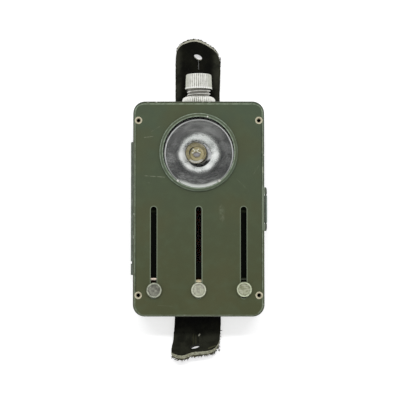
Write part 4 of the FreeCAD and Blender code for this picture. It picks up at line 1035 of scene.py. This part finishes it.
# %% [markdown]
# ## The leather strap
#
# The strap is cut from a flat hide, so it is made flat first: its ends are rounded, its buttonholes
# punched and its raw edge roughened. Only then is it bent, point by point, along the two curls that years
# on a coat have given it. Drawing it bent from the start would leave the holes and the edge band slanted
# wrongly through the leather.

# %% Cut the flat strip
strap_half, strap_thick = 12.6, 3


def between(points, x):
    """Straight interpolation in a short list of (x, value)."""
    for (x0, v0), (x1, v1) in zip(points, points[1:]):
        if x <= x1:
            return v0 + (v1 - v0) * (x - x0) / (x1 - x0)
    return points[-1][1]


# the lower end is worn askew: distance from the lowest point, from the left side to the right
foot_y = -86.9
foot_wear = [
    (-12.6, 6.5), (-12.3, 4.4), (-11.4, 3.1), (-10, 2.1), (-8.6, 1.4), (-7.2, 1), (-6.2, 1.4), (-4.8, 2.4),
    (-3.2, 3.7), (-1.6, 4), (1.5, 4.2), (5, 4.4), (7, 5), (8.6, 5.6), (10.3, 7.1), (11.3, 8.9),
    (12.1, 10.6), (12.6, 13.5),
]
# the upper end is a round one, pulled out of true: how far up the leather goes
head_wear = [
    (-12.6, 84), (-12.5, 88), (-12.2, 90.8), (-11.7, 93), (-10.6, 94.9), (-8.8, 96.5), (-6.5, 97.7),
    (-4, 98.4), (-1.5, 98.6), (1.2, 97.9), (3.8, 96.6), (6.4, 95), (8.8, 93.1), (10.5, 91.2), (11.7, 88.8),
    (12.3, 85.6), (12.6, 81),
]


def strip_ends(x):
    """Where the leather starts and ends along its length, at x from its middle."""
    return foot_y + between(foot_wear, x), between(head_wear, x)


strip = bmesh.new()
bmesh.ops.create_grid(strip, x_segments=36, y_segments=170, size=0.5)
for vert in strip.verts:
    x = strap_half * math.sin(math.pi * vert.co.x)
    foot, top = strip_ends(x)
    vert.co = (x, foot + (top - foot) * (vert.co.y + 0.5), 0)
thicken(strip, -strap_thick / 2, strap_thick / 2)
for level in (-0.5, 0.5):
    bmesh.ops.bisect_plane(strip, geom=strip.verts[:] + strip.edges[:] + strip.faces[:],
                           plane_co=(0, 0, level), plane_no=(0, 0, 1))
bmesh.ops.recalc_face_normals(strip, faces=strip.faces)
raw = {vert for face in strip.faces if abs(face.normal.z) < 0.5 for vert in face.verts}
# without a seed this noise would start from the clock, and the cut edge would differ from run to run
noise.seed_set(7)
for vert in raw:
    rough = noise.noise_vector(vert.co * 1.1) * 0.16 + noise.noise_vector(vert.co * 4) * 0.12
    vert.co += Vector((rough.x, rough.y, 0))
strap = piece(strip, "strap_leather", "rear_door", ["black_leather", "leather_cut_edge"], ["strap"],
              50)

# %% Punch the buttonholes
tools, slit = bmesh.new(), bmesh.new()
for x, y, wide, high, skew in ((-0.3, 88.8, 2.25, 1.5, -0.36), (-1.6, -78.5, 2.4, 1.55, 0.33)):
    ring = bmesh.ops.create_circle(tools, segments=28, radius=1, cap_ends=True)["verts"]
    scale(tools, (wide, high, 1), ring)
    for vert in ring:
        vert.co = (vert.co.x + x, vert.co.y + y + skew * vert.co.x, 0)
thicken(tools, -3, 3)
rounded_face(slit, 0.055, 7.4, 0.018, (-0.1, 85.1, 0), 2)
thicken(slit, -3.1, 3.1)
punch(strap, tools)
punch(strap, slit)
for face in strap.data.polygons:
    at_foot_hole = abs(face.center.x) < 4.6 * MM and -81.4 * MM < face.center.y < -70 * MM
    face.material_index = 1 if abs(face.normal.z) < 0.6 and not at_foot_hole else 0
print("strap, flat and punched:", len(strap.data.polygons), "faces")

# %% Curl it
# how far the two edges lie from the lamp's middle along the strap: years of pulling have stretched it
# unevenly
left_edge = [
    (-90, 16.8), (-82, 15.8), (-75, 14.6), (-64, 13.7), (-50, 13.2), (50, 13), (66, 13.3), (100, 13.3),
]
right_edge = [
    (-90, 11.4), (-80, 11.6), (-64, 12.6), (-50, 12.3), (50, 12), (66, 12), (82, 12.5), (100, 12.4),
]
# the upper bend is a plain one, the lower one is tighter toward its right side
head_bend_y, head_bend_r = 75, 42
foot_bend_y, foot_bend_r, foot_askew = -64, 22.9, 1.9


def curl(point):
    """Place on the worn strap of a point of the flat strip, in millimetres."""
    x, s, t = point
    across = x / strap_half * between(left_edge if x < 0 else right_edge, s)
    up = strap_thick / 2 + t
    if s > head_bend_y:
        angle, out = (s - head_bend_y) / head_bend_r, head_bend_r - t
        s, up = head_bend_y + out * math.sin(angle), strap_thick / 2 + head_bend_r - out * math.cos(angle)
    elif s < foot_bend_y:
        radius = foot_bend_r - foot_askew * x / strap_half
        angle, out = (foot_bend_y - s) / radius, radius - t
        s, up = foot_bend_y - out * math.sin(angle), strap_thick / 2 + radius - out * math.cos(angle)
    return Vector((across, s, up))


for vert in strap.data.vertices:
    vert.co = curl(vert.co / MM) * MM
shade(strap.data, 50)
add_bevel(strap, 0.22, 50)
print("strap curled, top end", round(max(v.co.z for v in strap.data.vertices) / MM, 1), "mm up")

# %% Loose fibres
chance = random.Random(7)
fibres = bmesh.new()
for number in range(380):
    x = chance.uniform(-12, 12.3)
    foot, top = strip_ends(x)
    s = top if number % 2 == 0 else foot
    if number % 9 == 0:
        x, s = 12.4, chance.choice((chance.uniform(82, 88), chance.uniform(-80, -66)))
    length = chance.uniform(0.6, 1.4) * (0.75 if s > 0 else 1.4)
    strand = rod(fibres, chance.uniform(0.14, 0.4), length, 3, tip=0.08)
    move(fibres, (0, 0, length / 2 - 0.2), strand)
    outward = Vector((x / 9, 1 if s > 0 else -1, 0)).normalized()
    stray = Vector((chance.uniform(-1, 1), chance.uniform(-1, 1), chance.uniform(-0.8, 0.8)))
    outward = (outward + stray * 0.7).normalized()
    rotate(fibres, outward.to_track_quat("Z", "Y").to_matrix(), strand)
    move(fibres, (x, s, chance.uniform(-1.5, -1.1)), strand)
for vert in fibres.verts:
    vert.co = curl(vert.co)
piece(fibres, "strap_fibres", "rear_door", "strap_fray")

# %% [markdown]
# ## Floor and light
#
# A pale table and soft light from above the top edge leave one faint shadow under the lower edge. The
# world looks an even white to the camera and to polished pieces, but lights the lamp more weakly, and more
# from above than from the sides. The large panel gives the shadow its direction, and the table adds a
# little of its own white where the camera looks at it, so that it prints white and still keeps the shadow.

# %% Table
floor_bm = bmesh.new()
bmesh.ops.create_grid(floor_bm, x_segments=2, y_segments=2, size=3)
table = stand("table", mesh_of("table", floor_bm), (0, 0, -0.1 * MM))
white = Finish("table_white", Roughness=0.9, Base_Color=(0.76, 0.76, 0.77, 1), Emission_Color="ffffff",
               Specular_IOR_Level=0)
kinds = ("Camera", "Glossy", "Transmission")
rays = [white.field("LightPath", output="Is " + kind + " Ray") for kind in kinds]
white.set(Emission_Strength=0.54 * strongest(rays))
table.data.materials.append(white.material)
print("table laid at", table.location.z, "m")

# %% World and panel
world = bpy.data.worlds.new("studio")
bpy.context.scene.world = world
sky = Nodes(world)
height = sky.field("SeparateXYZ", {}, {0: sky.node("TexCoord").outputs["Generated"]}, "Z")
dome = sky.field("MapRange", {}, {"Value": height, "From Max": 0.8, "To Min": 0.3, "To Max": 0.62})
rays = [sky.field("LightPath", output="Is " + kind + " Ray") for kind in kinds[:2]]
strength = sky.field("MapRange", {}, {"Value": strongest(rays), "To Min": dome, "To Max": 1})
background = sky.node("Background", {}, {"Color": "ffffff", "Strength": strength})
sky.node("OutputWorld", {}, {"Surface": background.outputs[0]})

# a soft rectangular light; polished pieces don't show it
panel_data = bpy.data.lights.new("key_panel", "AREA")
panel_data.shape, panel_data.size, panel_data.size_y, panel_data.energy = "RECTANGLE", 0.62, 0.07, 4.6
panel = stand("key_panel", panel_data, (0, 0.25, 0.95), (0, 0, 0.02))
panel.visible_glossy = False
bpy.context.scene.view_settings.view_transform = "Standard"
